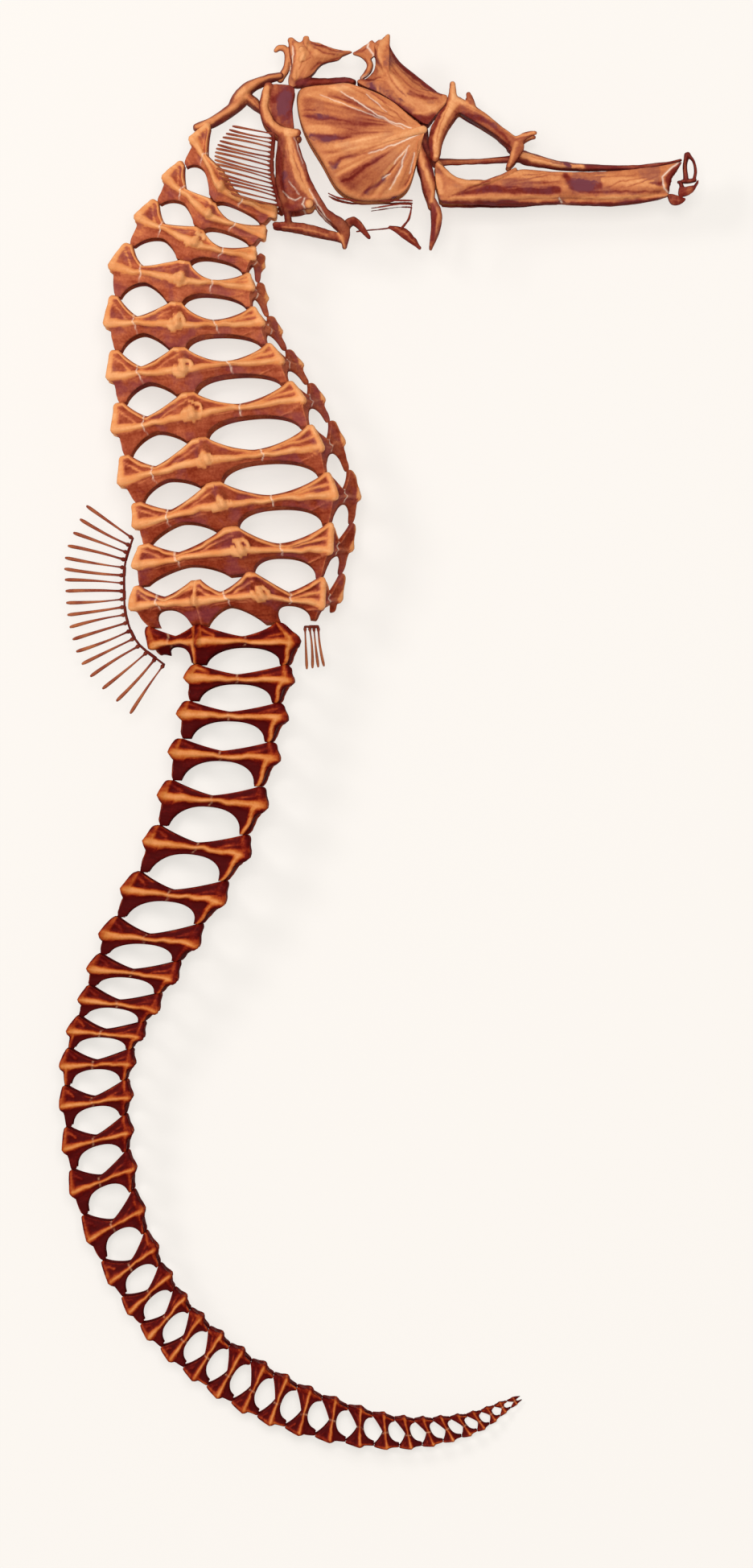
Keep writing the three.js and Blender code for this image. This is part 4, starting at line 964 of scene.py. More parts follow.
coronet_outline = [
    [-9.47, 74.3, 0.5], [-9.13, 74.47, 0.6], [-8.7, 74.23, 0.7], [-8.28, 73.96, 0.8], [-7.94, 74.14, 0.8],
    [-7.79, 74.57, 0.7], [-7.3, 74.57, 0.7], [-7.12, 74.12, 0.7], [-6.09, 73.9, 0.7], [-5.0, 73.42, 0.6],
    [-3.9, 73.11, 0.5], [-2.99, 73.09, 0.4], [-2.65, 72.92, 0.3], [-3.11, 72.69, 0.35], [-3.66, 72.48, 0.4],
    [-4.09, 72.12, 0.5], [-4.88, 71.9, 0.6], [-5.73, 71.68, 0.8], [-6.27, 71.29, 0.9], [-6.76, 70.68, 1.0],
    [-7.3, 70.22, 1.1], [-8.15, 69.87, 1.2], [-8.7, 69.25, 1.2], [-9.31, 69.29, 1.2], [-9.43, 70.08, 1.1],
    [-9.13, 71.17, 1.0], [-8.91, 72.38, 0.9], [-8.98, 73.23, 0.8], [-9.37, 73.84, 0.6],
]
crown_point = [[-7.8, 72.9, 0.6, 0.6], [-7.9, 73.0, 1.1, 0.5], [-8.0, 73.1, 1.4, 0.35]]
crown_point_left = mirrored(crown_point)
arm = [
    [-7.3, 73.72, 0.4, 0.35, 0.6], [-5.73, 73.35, 0.3, 0.3, 0.6], [-4.03, 72.93, 0.2, 0.26, 0.45],
    [-2.99, 72.93, 0, 0.2, 0.3],
]
stem = [
    [-9.13, 74.08, 0.3, 0.32, 0.5], [-8.82, 72.87, 0.5, 0.5, 0.8], [-8.64, 71.53, 0.6, 0.5, 0.9],
    [-8.82, 70.08, 0.6, 0.45, 1.0],
]
stem_right = [[-7.55, 74.33, 0.3, 0.28, 0.5], [-7.67, 73.23, 0.6, 0.4, 0.9], [-8.15, 71.90, 0.8, 0.4, 1.0]]
neck_rod = [
    [-8.52, 69.53, 0, 0.42, 1.2], [-7.3, 69.69, 0, 0.5, 1.3], [-4.88, 69.74, 0, 0.48, 1.6],
    [-3.18, 69.83, 0, 0.46, 1.8], [-2.57, 69.74, 0, 0.36, 1.9],
]
hook = [
    [-10.75, 73.1, 0, 0.2, 0.4], [-10.37, 73.43, 0, 0.32, 0.5], [-9.76, 73.25, 0, 0.36, 0.5],
    [-9.51, 72.46, 0, 0.34, 0.5], [-9.67, 71.27, 0, 0.38, 0.5], [-10.27, 70.09, 0, 0.42, 0.6],
]
skull_piece(
    ["coronet"],
    [
        plate(coronet_outline, [-7.91, 72.5, 1.5], None), limb(crown_point), limb(crown_point_left),
        limb(arm), limb(stem), limb(stem_right), limb(neck_rod), limb(hook),
    ],
    base=0.62, grain_angle=60, blotch=0.35,
    tones=[
        (0.84, [[-8.4, 73.48, 0.35], [-8.15, 72.02, 0.45], [-8.64, 70.44, 0.4]]),
        (0.78, [[-7.3, 73.48, 0.2], [-6.09, 72.5, 0.2], [-4.88, 72.5, 0.1]]),
        (0.1, [[-7.0, 73.9, 0.05], [-5.85, 73.6, 0.12], [-4.88, 73.29, 0.13], [-3.9, 72.97, 0.07],
            [-2.93, 72.97, 0.03]]),
        (0.85, [[-7.12, 74.08, 0.04], [-6.09, 73.86, 0.04], [-5.0, 73.39, 0.05], [-3.9, 73.08, 0.05],
            [-2.93, 73.01, 0.05]]),
        (0.2, [[-6.7, 73.35, 0.03], [-5.73, 72.84, 0.07], [-4.51, 72.65, 0.05]]),
        (0.2, [[-6.94, 70.99, 0.04], [-6.21, 71.59, 0.11], [-5.12, 71.92, 0.1], [-4.03, 72.24, 0.08],
            [-3.05, 72.72, 0.04]]),
        (0.2, [[-9.0, 73.96, 0.02], [-8.74, 72.87, 0.05], [-8.79, 71.9, 0.02]]),
        (0.25, [[-7.91, 74.08, 0.02], [-7.64, 73.35, 0.05], [-6.82, 72.26, 0.03]]),
        (0.3, [[-8.28, 71.05, 0.02], [-7.91, 71.78, 0.04], [-7.18, 72.26, 0.03]]),
        (0.72, [[-10.75, 73.14, 0.12], [-10.37, 73.5, 0.14], [-9.73, 73.35, 0.15], [-9.4, 72.55, 0.14],
            [-9.62, 71.24, 0.16], [-10.27, 70.09, 0.2]]),
        (0.2, [[-10.6, 72.73, 0.05], [-10.0, 72.83, 0.07], [-9.91, 71.64, 0.06], [-10.46, 70.18, 0.05]]),
        # painted shade: the neck rod, deep on the middle plane, is painted dark as in shadow
        (0.1, [[-8.4, 69.54, 0.34], [-7.3, 69.71, 0.46], [-4.88, 69.74, 0.44], [-3.18, 69.81, 0.44],
            [-2.51, 69.69, 0.3]]),
    ],
    lines=[(0.9, [[-9.05, 73.48, 0.02], [-8.92, 72.63, 0.05], [-9.13, 71.41, 0.05], [-9.47, 70.2, 0.04]])],
)

nape_chain = [
    [-19.1, 65.0, 0, 0.45, 1.6], [-17.4, 65.6, 0, 0.6, 1.7], [-15.4, 66.9, 0, 0.65, 1.8],
    [-14.6, 67.9, 0, 0.9, 1.9], [-13.7, 69.1, 0, 0.7, 2.0], [-11.6, 70.1, 0, 0.5, 1.8],
    [-10.3, 70.4, 0, 0.4, 1.3],
]
nape_branch = [[-14.6, 68.6, 0, 0.5, 1.6], [-13.2, 67.7, 0, 0.6, 2.0], [-12.1, 66.6, 0, 0.4, 2.2]]
skull_piece(
    ["nape"],
    [limb(nape_chain), limb(nape_branch)],
    base=0.7, grain_angle=40, blotch=0.4,
    tones=[
        (0.9, [[-14.9, 68.3, 0.35], [-14.2, 68.9, 0.3]]),
        (0.25, [[-19.0, 64.6, 0.1], [-17.4, 65.1, 0.12], [-15.6, 66.3, 0.12], [-14.4, 67.2, 0.1]]),
        (0.3, [[-13.6, 68.3, 0.06], [-12.6, 67.2, 0.1], [-11.9, 66.4, 0.06]]),
    ],
)

roof = [
    [13.96, 62.62, 0, 0.3, 1.6], [15.34, 61.88, 0, 0.7, 1.5], [17.04, 61.41, 0, 0.66, 1.4],
    [19.17, 60.97, 0, 0.5, 1.2], [22.36, 60.75, 0, 0.4, 1.1], [25.54, 60.73, 0, 0.32, 0.95],
    [27.67, 60.8, 0, 0.26, 0.9], [30.22, 61.14, 0, 0.22, 0.8], [32.02, 61.54, 0, 0.2, 0.7],
]
brow_back = [[8.9, 66.6, 0, 0.3, 1.7], [12.0, 64.6, 0, 0.35, 1.8], [14.2, 62.8, 0, 0.45, 1.6]]
eye_rod = [
    [6.31, 61.33, 0, 0.45, 1.0], [8.54, 61.35, 0, 0.35, 0.5], [11.3, 61.46, 0, 0.34, 0.55],
    [13.43, 61.6, 0, 0.38, 0.8], [14.92, 61.71, 0, 0.42, 1.0],
]
eye_back = [[6.1, 61.2, 0, 0.5, 1.4], [4.9, 63.4, 0, 0.6, 1.8], [4.8, 65.0, 0, 0.5, 1.9]]
skull_piece(
    ["snout_roof"],
    [limb(roof), limb(brow_back), limb(eye_rod), limb(eye_back)],
    base=0.2, grain_angle=-5, blotch=0.3,
    tones=[
        (0.38, [[6.42, 61.33, 0.3], [10.67, 61.41, 0.28], [13.43, 61.6, 0.28]]),
        (0.55, [[7.06, 61.41, 0.04], [10.67, 61.52, 0.07], [13.22, 61.69, 0.04]]),
        (0.84, [[15.34, 62.09, 0.45], [17.04, 61.46, 0.4], [19.17, 60.99, 0.32], [21.72, 60.78, 0.22]]),
        (0.3, [[14.92, 61.14, 0.08], [17.04, 60.86, 0.08], [19.17, 60.54, 0.06], [21.93, 60.39, 0.04]]),
        (0.35, [[16.19, 61.88, 0.02], [17.89, 61.33, 0.05], [20.44, 60.86, 0.03]]),
        (0.16, [[22.14, 60.78, 0.3], [25.54, 60.73, 0.3], [29.37, 60.99, 0.3], [32.13, 61.6, 0.3]]),
        (0.5, [[23.42, 60.97, 0.03], [26.61, 60.95, 0.04], [29.37, 61.18, 0.03]]),
    ],
    stains=[(0.9, [[18.32, 61.2, 0.1], [19.17, 61.12, 0.16], [20.12, 60.9, 0.1]])],
)

eye_spine = [[7.87, 69.35, 2.9, 0.3], [7.90, 68.50, 2.8, 0.4], [7.94, 67.40, 2.6, 0.75, 0.6]]
eye_limb = [
    [8.4, 67.3, 2.6, 0.8, 0.6], [7.1, 65.8, 3.1, 0.85, 0.5], [6.2, 63.9, 3.5, 0.8, 0.5],
    [6.0, 61.6, 3.5, 0.55],
]
brow = [
    [8.3, 67.4, 2.6, 0.7, 0.6], [10.1, 66.3, 2.8, 0.74, 0.5], [12.2, 64.85, 2.6, 0.56, 0.45],
    [13.9, 63.6, 2.4, 0.6, 0.5], [14.7, 62.9, 2.3, 0.72, 0.5], [14.4, 61.8, 2.1, 0.5],
    [13.8, 60.8, 2.0, 0.32],
]
brow_point = [[9.86, 66.98, 2.8, 0.5], [9.71, 67.79, 3.0, 0.36], [9.54, 68.26, 3.1, 0.26]]
nose_point = [[14.71, 63.47, 2.3, 0.5], [15.87, 64.05, 2.5, 0.36], [16.58, 64.20, 2.8, 0.22]]
orbit_limbs = [eye_spine, eye_limb, brow, brow_point, nose_point]
skull_piece(
    ["orbit_right", "orbit_left"],
    [limb(r) for r in orbit_limbs],
    base=0.4, grain_angle=-35, blotch=0.3,
    tones=[
        (0.88, [[7.91, 69.32, 0.3], [8.22, 67.62, 0.5], [6.84, 65.49, 0.42], [6.16, 63.37, 0.38],
            [6.08, 61.77, 0.32]]),
        (0.86, [[8.54, 67.72, 0.35], [10.46, 66.56, 0.2], [12.79, 65.2, 0.14], [14.6, 63.9, 0.26],
            [16.41, 64.13, 0.12]]),
        (0.4, [[9.56, 68.36, 0.3], [9.78, 67.51, 0.3]]),
        (0.08, [[7.16, 67.09, 0.08], [6.31, 65.6, 0.18], [5.61, 63.9, 0.24], [5.53, 62.31, 0.2],
            [5.7, 61.14, 0.14]]),
        # painted shade: a dark band along the underside of the brow
        (0.1, [[8.33, 66.02, 0.14], [9.29, 65.88, 0.3], [10.88, 65.66, 0.3], [11.94, 65.07, 0.2],
            [13.22, 64.0, 0.16], [13.75, 63.26, 0.14], [13.64, 62.09, 0.12]]),
        (0.3, [[10.46, 66.98, 0.04], [11.94, 66.02, 0.08], [14.07, 64.86, 0.06]]),
        (0.38, [[9.07, 67.19, 0.02], [11.09, 66.17, 0.05], [13.43, 64.81, 0.03]]),
        (0.4, [[7.48, 66.98, 0.02], [6.59, 65.07, 0.04], [6.25, 63.16, 0.03]]),
        (0.8, [[14.6, 63.16, 0.2], [14.11, 61.88, 0.16], [13.86, 60.71, 0.1]]),
        (0.3, [[14.28, 63.37, 0.03], [15.34, 63.75, 0.05], [16.41, 63.88, 0.03]]),
    ],
    stains=[(0.7, [[9.07, 65.96, 0.22], [10.88, 65.7, 0.26], [12.16, 64.96, 0.16]])],
)

strut_down = [
    [4.33, 63.15, 3.5, 0.28, 0.35], [4.54, 62.18, 3.6, 0.42], [4.84, 60.97, 3.6, 0.7, 0.6],
    [5.23, 59.75, 3.5, 0.75, 0.6], [5.45, 58.54, 3.4, 0.7, 0.5], [5.59, 57.57, 3.3, 0.5],
    [5.66, 56.84, 3.3, 0.36],
]
spike_down = [
    [5.89, 56.99, 3.3, 0.36], [6.12, 56.1, 3.2, 0.55, 0.5], [6.21, 55.08, 3.0, 0.6, 0.45],
    [5.95, 53.59, 2.8, 0.4], [5.63, 52.32, 2.5, 0.2],
]
skull_piece(
    ["preopercle_right", "preopercle_left"],
    [limb(strut_down), limb(spike_down)],
    base=0.4, grain_angle=85, blotch=0.3,
    tones=[
        (0.84, [[4.41, 63.03, 0.08], [4.57, 61.82, 0.16], [4.84, 60.48, 0.26], [5.39, 59.15, 0.26],
            [5.79, 57.93, 0.2], [5.71, 56.96, 0.16]]),
        (0.1, [[4.11, 63.03, 0.1], [4.11, 61.94, 0.12], [4.2, 60.6, 0.17], [4.47, 59.27, 0.16],
            [4.9, 57.93, 0.14]]),
        (0.1, [[5.11, 61.58, 0.12], [5.59, 60.6, 0.2], [5.93, 59.63, 0.14], [6.24, 58.66, 0.08]]),
        (0.1, [[5.74, 56.67, 0.1], [5.91, 55.72, 0.3], [5.99, 54.66, 0.3], [5.7, 52.95, 0.2]]),
        (0.75, [[6.25, 56.36, 0.1], [6.42, 55.29, 0.14], [6.16, 53.81, 0.08]]),
    ],
    lines=[(0.8, [[4.9, 63.22, 0.03], [5.02, 62.43, 0.04], [5.32, 61.79, 0.04]])],
)

SNOUT_ROWS = [
    [6.8, 57.6, 6.8, 56.8, 3.2, 3.3, 3.1], [10.6, 59.0, 10.2, 56.7, 2.6, 3.1, 2.3],
    [14.7, 60.35, 14.4, 56.6, 2.1, 2.7, 1.3], [19.3, 60.2, 19.3, 56.95, 1.7, 2.2, 0.8],
    [24.6, 60.3, 24.6, 56.7, 1.4, 1.9, 0.7], [28.9, 60.75, 28.4, 57.1, 1.3, 1.8, 0.7],
    [32.2, 61.35, 30.7, 57.8, 1.1, 1.6, 0.8],
]


def snout_side(thickness=0.6, count=120, width=18):
    """Side wall of the snout: upper and lower edge and three heights as cubics along it, a cubic across."""
    rows = np.array(SNOUT_ROWS, float)
    along = curve(np.column_stack([np.arange(len(rows)), rows]))(np.linspace(0, len(rows) - 1, count))
    s = np.linspace(0, 1, width)
    outer = np.empty((count, width, 3))
    outer[..., 0] = along[:, None, 0] * (1 - s) + along[:, None, 2] * s
    outer[..., 1] = along[:, None, 1] * (1 - s) + along[:, None, 3] * s
    # the mouth end is hollowed
    outer[..., 0] -= 0.6 * np.sin(np.pi * s) * smooth_step(np.linspace(0, 1, count), 0.85, 1)[:, None]
    for i in range(count):
        top, middle, bottom = along[i, 4:7]
        outer[i, :, 2] = curve([[0, top], [0.3, middle], [0.75, middle], [1, bottom]])(s)[:, 0]
    inner = outer.copy()
    inner[..., 2] = np.maximum(outer[..., 2] - thickness, 0.1)
    section = np.concatenate([outer, inner[:, ::-1]], axis=1)
    start, end = section[:1].mean(axis=1, keepdims=True), section[-1:].mean(axis=1, keepdims=True)
    wide = 2 * width
    caps = [np.repeat(start, wide, axis=1), section, np.repeat(end, wide, axis=1)]
    return np.concatenate(caps).reshape(-1, 3), grid_quads(count + 2, wide, False, True)


cheek_outline = [
    [6.08, 61.2, 3.4], [6.67, 61.12, 3.4], [7.48, 60.14, 3.3], [8.76, 59.29, 3.2], [11.3, 59.16, 2.9],
    [9.61, 57.52, 3.1], [6.8, 57.04, 3.4], [6.38, 57.84, 3.5], [6.08, 59.12, 3.6],
]
lower_edge = [[7.06, 57.20, 3.0, 0.26], [14.49, 57.10, 1.9, 0.26], [18.96, 57.16, 1.4, 0.24]]
lower_edge_front = [
    [19.91, 57.1, 1.3, 0.2], [24.69, 57.04, 1.2, 0.26], [29.37, 57.55, 1.2, 0.22], [30.6, 57.84, 1.2, 0.12],
]
cheek_edge = [
    [6.31, 60.82, 3.5, 0.3], [6.95, 60.18, 3.5, 0.34], [8.33, 59.16, 3.3, 0.34], [11.3, 59.01, 3.0, 0.25],
    [14.49, 60.39, 2.3, 0.22],
]
skull_piece(
    ["snout_side_right", "snout_side_left"],
    [
        snout_side(), plate(cheek_outline, [7.48, 58.69, 3.6], 0.6), limb(lower_edge), limb(lower_edge_front),
        limb(cheek_edge),
    ],
    base=0.56, grain_angle=2, blotch=0.5,
    tones=[
        (0.86, [[6.52, 60.92, 0.3], [7.48, 59.76, 0.4], [9.18, 59.01, 0.36], [10.67, 58.91, 0.22]]),
        (0.84, [[6.31, 59.54, 0.3], [6.63, 58.06, 0.3]]),
        (0.78, [[12.79, 59.44, 0.1], [14.92, 59.97, 0.35], [17.04, 59.65, 0.4], [18.96, 59.54, 0.35]]),
        (0.8, [[23.84, 59.22, 0.3], [25.54, 59.22, 0.5], [28.31, 59.01, 0.42], [30.22, 58.69, 0.25]]),
        (0.06, [[8.33, 57.67, 0.06], [10.24, 58.01, 0.24], [11.73, 58.35, 0.4], [13.86, 58.23, 0.4],
            [16.19, 58.14, 0.36], [18.96, 58.23, 0.4]]),
        (0.12, [[11.73, 59.16, 0.04], [10.03, 58.44, 0.08], [8.33, 57.74, 0.07], [7.48, 57.38, 0.04]]),
        (0.1, [[19.8, 59.76, 0.25], [20.66, 58.59, 0.45], [22.14, 58.59, 0.55], [23.42, 58.69, 0.35]]),
        (0.8, [[7.69, 57.27, 0.05], [10.67, 57.42, 0.13], [14.92, 57.46, 0.18], [18.96, 57.52, 0.12]]),
        (0.82, [[21.19, 57.42, 0.08], [24.48, 57.5, 0.16], [28.73, 57.59, 0.14], [30.43, 57.72, 0.06]]),
        (0.03, [[6.63, 56.82, 0.12], [8.54, 56.78, 0.2], [11.3, 56.78, 0.28], [16.19, 56.74, 0.28],
            [19.17, 56.82, 0.2]]),
        (0.03, [[20.44, 56.87, 0.14], [24.69, 56.74, 0.26], [28.09, 57.04, 0.2], [30.01, 57.31, 0.12]]),
        (0.1, [[21.29, 58.01, 0.1], [25.54, 58.06, 0.13], [29.79, 58.06, 0.08]]),
        (0.3, [[12.79, 58.69, 0.03], [15.34, 59.29, 0.08], [17.89, 59.76, 0.04]]),
        (0.26, [[13.43, 58.69, 0.03], [16.19, 58.99, 0.09], [19.17, 59.12, 0.05]]),
        (0.72, [[13.64, 58.35, 0.01], [15.77, 58.52, 0.03], [17.89, 58.48, 0.02]]),
        (0.36, [[15.34, 59.86, 0.02], [17.47, 59.93, 0.04], [19.59, 59.76, 0.03]]),
        (0.32, [[23.42, 58.23, 0.02], [25.97, 59.29, 0.05], [28.09, 59.54, 0.03]]),
        (0.32, [[24.48, 58.23, 0.02], [26.82, 58.69, 0.05], [29.58, 59.76, 0.03]]),
        (0.36, [[22.99, 59.65, 0.02], [25.12, 59.71, 0.04], [27.24, 59.97, 0.03]]),
        (0.1, [[32.05, 61.24, 0.16], [31.32, 60.35, 0.4], [30.86, 59.44, 0.5], [30.98, 58.37, 0.42]]),
        (0.04, [[28.69, 59.05, 0.02], [29.37, 58.99, 0.14], [29.88, 58.86, 0.24]]),
    ],
    stains=[
        (0.9, [[10.67, 58.16, 0.2], [11.73, 58.37, 0.26], [12.79, 58.16, 0.16]]),
        (0.9, [[20.02, 58.91, 0.2], [21.29, 58.69, 0.4], [22.78, 58.69, 0.3]]),
    ],
    lines=[
        (0.95, [[19.17, 57.38, 0.03], [19.32, 57.08, 0.07], [19.51, 56.65, 0.04]]),
        (0.95, [[32.26, 61.56, 0.03], [31.22, 60.88, 0.05], [29.96, 59.65, 0.05], [30.2, 58.5, 0.05],
            [30.71, 57.97, 0.03]]),
    ],
)

jaw_bar = [[32.66, 62.09, 0, 0.28, 0.8], [32.47, 61.03, 0, 0.24, 1.0], [32.56, 59.44, 0, 0.28, 1.1]]
jaw_front = [
    [32.77, 62.18, 0, 0.22, 0.6], [33.36, 61.46, 0, 0.17, 0.7], [33.58, 60.39, 0, 0.17, 0.7],
    [33.45, 59.54, 0, 0.17, 0.7],
]
jaw_foot = [[32.17, 59.29, 0, 0.2, 0.9], [32.87, 59.33, 0, 0.22, 0.9], [33.49, 59.44, 0, 0.2, 0.7]]
skull_piece(
    ["upper_jaw"],
    [limb(jaw_bar), limb(jaw_front), limb(jaw_foot)],
    base=0.16, grain_angle=90, blotch=0.2, voxel=0.06,
    tones=[(0.45, [[32.39, 61.77, 0.04], [32.3, 60.61, 0.06], [32.39, 59.54, 0.04]])],
)
chin_outline = [
    [31.94, 58.74, 0.6], [32.49, 58.68, 0.7], [33.4, 58.87, 0.6], [33.76, 59.1, 0.5], [33.49, 58.36, 0.6],
    [33.0, 57.95, 0.6], [32.16, 57.7, 0.6], [31.83, 57.88, 0.6], [31.79, 58.32, 0.6],
]
jaw_outline = [
    [30.66, 57.81, 0.7], [31.02, 57.92, 0.7], [31.76, 57.74, 0.6], [32.45, 57.52, 0.6], [32.45, 57.26, 0.5],
    [32.08, 56.93, 0.5], [31.39, 56.8, 0.5], [30.93, 57.04, 0.6],
]
jaw_hook = [
    [32.15, 58.62, 0, 0.26, 0.6], [32.06, 59.0, 0, 0.22, 0.5], [31.94, 59.3, 0, 0.21, 0.5],
    [31.8, 59.22, 0, 0.18, 0.4],
]
jaw_hook_front = [[33.58, 58.90, 0, 0.15, 0.5], [33.87, 59.34, 0, 0.08, 0.4]]
skull_piece(
    ["lower_jaw"],
    [
        plate(chin_outline, [32.76, 58.36, 0.8], None), plate(jaw_outline, [31.54, 57.37, 0.8], None),
        limb(jaw_hook), limb(jaw_hook_front),
    ],
    base=0.16, grain_angle=90, blotch=0.2, voxel=0.05,
    tones=[
        (0.34, [[30.93, 57.3, 0.04], [31.57, 57.26, 0.06], [32.21, 57.26, 0.04]]),
        (0.3, [[32.12, 58.05, 0.03], [32.85, 58.32, 0.05], [33.49, 58.68, 0.03]]),
    ],
)

leaf = [
    [1.3, 54.5, 0, 0.22, 0.3], [2.3, 54.15, 0, 0.42, 0.45], [3.3, 53.4, 0, 0.5, 0.5],
    [4.4, 52.3, 0, 0.2, 0.25],
]
tongue_rod = [[-2.2, 54.0, 0, 0.1, 0.2], [1.2, 54.4, 0, 0.1, 0.2]]
arch = [[2.2, 54.0, 0.3, 0.1], [3.3, 55.4, 1.4, 0.09], [3.6, 56.7, 1.9, 0.09]]
gill_rays = [
    [[3.56, 56.72, 1.9, 0.1], [2.41, 56.76, 2.1, 0.1], [0.95, 56.57, 2.1, 0.09], [-0.69, 56.33, 2.0, 0.07]],
    [[3.62, 57.14, 1.9, 0.14], [1.2, 57.14, 2.2, 0.12], [-2.45, 57.14, 2.2, 0.12], [-4.27, 57.47, 2.0, 0.14],
        [-5.18, 57.9, 1.9, 0.08]],
]
hyoid_limbs = [leaf, tongue_rod]
for rows in [arch] + gill_rays:
    hyoid_limbs += [rows, mirrored(rows)]
skull_piece(
    ["hyoid"],
    [limb(r, 12) for r in hyoid_limbs],
    base=0.14, grain_angle=15, blotch=0.2, voxel=0.06,
    tones=[(0.5, [[1.8, 54.4, 0.04], [2.8, 53.9, 0.1], [3.9, 52.9, 0.04]])],
)

column = [
    [-11.5, 69.1, 2.3, 0.5, 0.45], [-12.0, 67.0, 2.8, 0.5], [-11.3, 65.2, 3.3, 0.6], [-10.0, 64.2, 3.8, 0.6],
    [-8.5, 64.1, 4.2, 0.45],
]
shaft = [
    [-9.9, 64.1, 3.9, 0.5], [-10.3, 61.0, 4.3, 0.45, 0.55], [-10.2, 58.0, 4.3, 0.45, 0.55],
    [-9.5, 56.4, 3.9, 0.5], [-7.3, 56.7, 3.8, 0.6, 0.7],
]
blade = [
    [-9.2, 63.9, 4.0, 0.5], [-8.1, 61.0, 4.1, 0.45], [-7.2, 58.6, 3.9, 0.45], [-5.6, 56.0, 3.2, 0.45],
    [-3.6, 54.2, 1.6, 0.6], [-3.5, 52.4, 0.9, 0.25],
]
foot = [[-10.8, 54.6, 1.9, 0.35], [-8.0, 54.3, 1.8, 0.5, 0.45], [-3.9, 53.3, 1.0, 0.45]]
heel = [[-9.6, 56.2, 3.8, 0.4], [-9.4, 54.8, 1.9, 0.4]]
spur = [[-3.4, 54.6, 1.3, 0.45], [-2.5, 55.1, 0.8, 0.4], [-0.9, 53.4, 0.5, 0.2]]
upper_web = [
    [-11.3, 69.2, 2.3], [-8.9, 69.1, 2.3], [-9.0, 67.0, 2.9], [-8.9, 64.5, 3.7], [-10.6, 64.8, 3.4],
    [-11.9, 67.0, 2.7],
]
lower_web = [
    [-9.9, 63.5, 4.2], [-8.2, 60.8, 4.3], [-7.3, 58.4, 4.1], [-7.2, 56.9, 3.9], [-9.5, 56.5, 4.1],
    [-10.3, 60.0, 4.4],
]
girdle_limbs = [limb(rows) for rows in (column, shaft, blade, foot, heel, spur)]
skull_piece(
    ["girdle_right", "girdle_left"],
    [*girdle_limbs, plate(upper_web, [-10.2, 67.0, 2.9], 0.5), plate(lower_web, [-8.8, 59.6, 4.6], 0.5)],
    base=0.3, grain_angle=100, blotch=0.3,
    tones=[
        (0.1, [[-10.91, 67.8, 0.3], [-9.91, 68.17, 0.5], [-9.27, 68.9, 0.4], [-9.36, 66.71, 0.4],
            [-9.73, 65.79, 0.3]]),
        (0.85, [[-11.7, 68.9, 0.35], [-11.81, 67.07, 0.4], [-11.37, 65.43, 0.38], [-10.27, 64.42, 0.34],
            [-8.72, 64.24, 0.3]]),
        (0.8, [[-9.4, 63.51, 0.3], [-9.07, 61.96, 0.5], [-8.45, 60.13, 0.6], [-7.68, 58.49, 0.5],
            [-6.99, 57.39, 0.3]]),
        (0.32, [[-8.34, 62.51, 0.02], [-7.86, 60.5, 0.07], [-7.13, 58.67, 0.08], [-6.26, 57.03, 0.04]]),
        (0.1, [[-10.31, 62.51, 0.18], [-10.31, 60.68, 0.24], [-10.09, 58.85, 0.26], [-9.63, 57.58, 0.2]]),
        (0.25, [[-9.51, 62.87, 0.02], [-9.32, 61.05, 0.06], [-8.72, 59.22, 0.03]]),
        (0.35, [[-9.0, 62.69, 0.01], [-8.59, 60.86, 0.04], [-7.81, 58.85, 0.02]]),
        (0.3, [[-8.72, 63.06, 0.02], [-8.16, 61.05, 0.04], [-7.35, 59.04, 0.03]]),
        (0.92, [[-9.63, 64.06, 0.3], [-8.72, 64.0, 0.3]]),
        (0.15, [[-9.91, 56.48, 0.3], [-8.45, 56.12, 0.25], [-7.72, 55.57, 0.2]]),
        (0.92, [[-7.24, 56.66, 0.42], [-7.11, 56.66, 0.42]]),
        (0.84, [[-6.8, 56.02, 0.12], [-5.34, 54.75, 0.18], [-3.88, 53.47, 0.2], [-3.52, 52.28, 0.1]]),
        (0.2, [[-7.17, 55.39, 0.08], [-5.71, 54.29, 0.1], [-4.43, 53.01, 0.06]]),
        (0.12, [[-10.82, 54.47, 0.2], [-8.08, 54.11, 0.2], [-5.71, 53.56, 0.15]]),
        (0.72, [[-10.09, 54.36, 0.04], [-7.53, 54.07, 0.12], [-5.34, 53.47, 0.07]]),
        (0.1, [[-2.97, 54.93, 0.2], [-2.42, 54.98, 0.3], [-0.78, 53.28, 0.2]]),
    ],
    stains=[
        (0.8, [[-9.91, 68.35, 0.5], [-9.73, 67.07, 0.6], [-9.63, 65.61, 0.5]]),
        (0.7, [[-9.91, 59.77, 0.14], [-9.63, 58.49, 0.2], [-9.18, 57.76, 0.14]]),
    ],
    lines=[
        (0.85, [[-9.91, 57.94, 0.02], [-9.36, 57.3, 0.04], [-8.72, 57.03, 0.04], [-8.08, 57.3, 0.02]]),
        (0.8, [[-9.36, 59.04, 0.01], [-8.72, 58.12, 0.03], [-8.27, 57.58, 0.01]]),
        (0.85, [[-7.17, 58.22, 0.02], [-6.44, 56.66, 0.04], [-5.34, 55.11, 0.04], [-4.61, 54.29, 0.01]]),
        (0.7, [[-8.72, 63.6, 0.01], [-8.36, 62.51, 0.03], [-7.86, 60.86, 0.01]]),
        (0.9, [[-7.75, 57.25, 0.02], [-7.94, 56.57, 0.05], [-7.53, 55.9, 0.03]]),
        (0.8, [[-6.62, 57.21, 0.02], [-6.4, 56.48, 0.04], [-6.77, 55.9, 0.02]]),
    ],
)

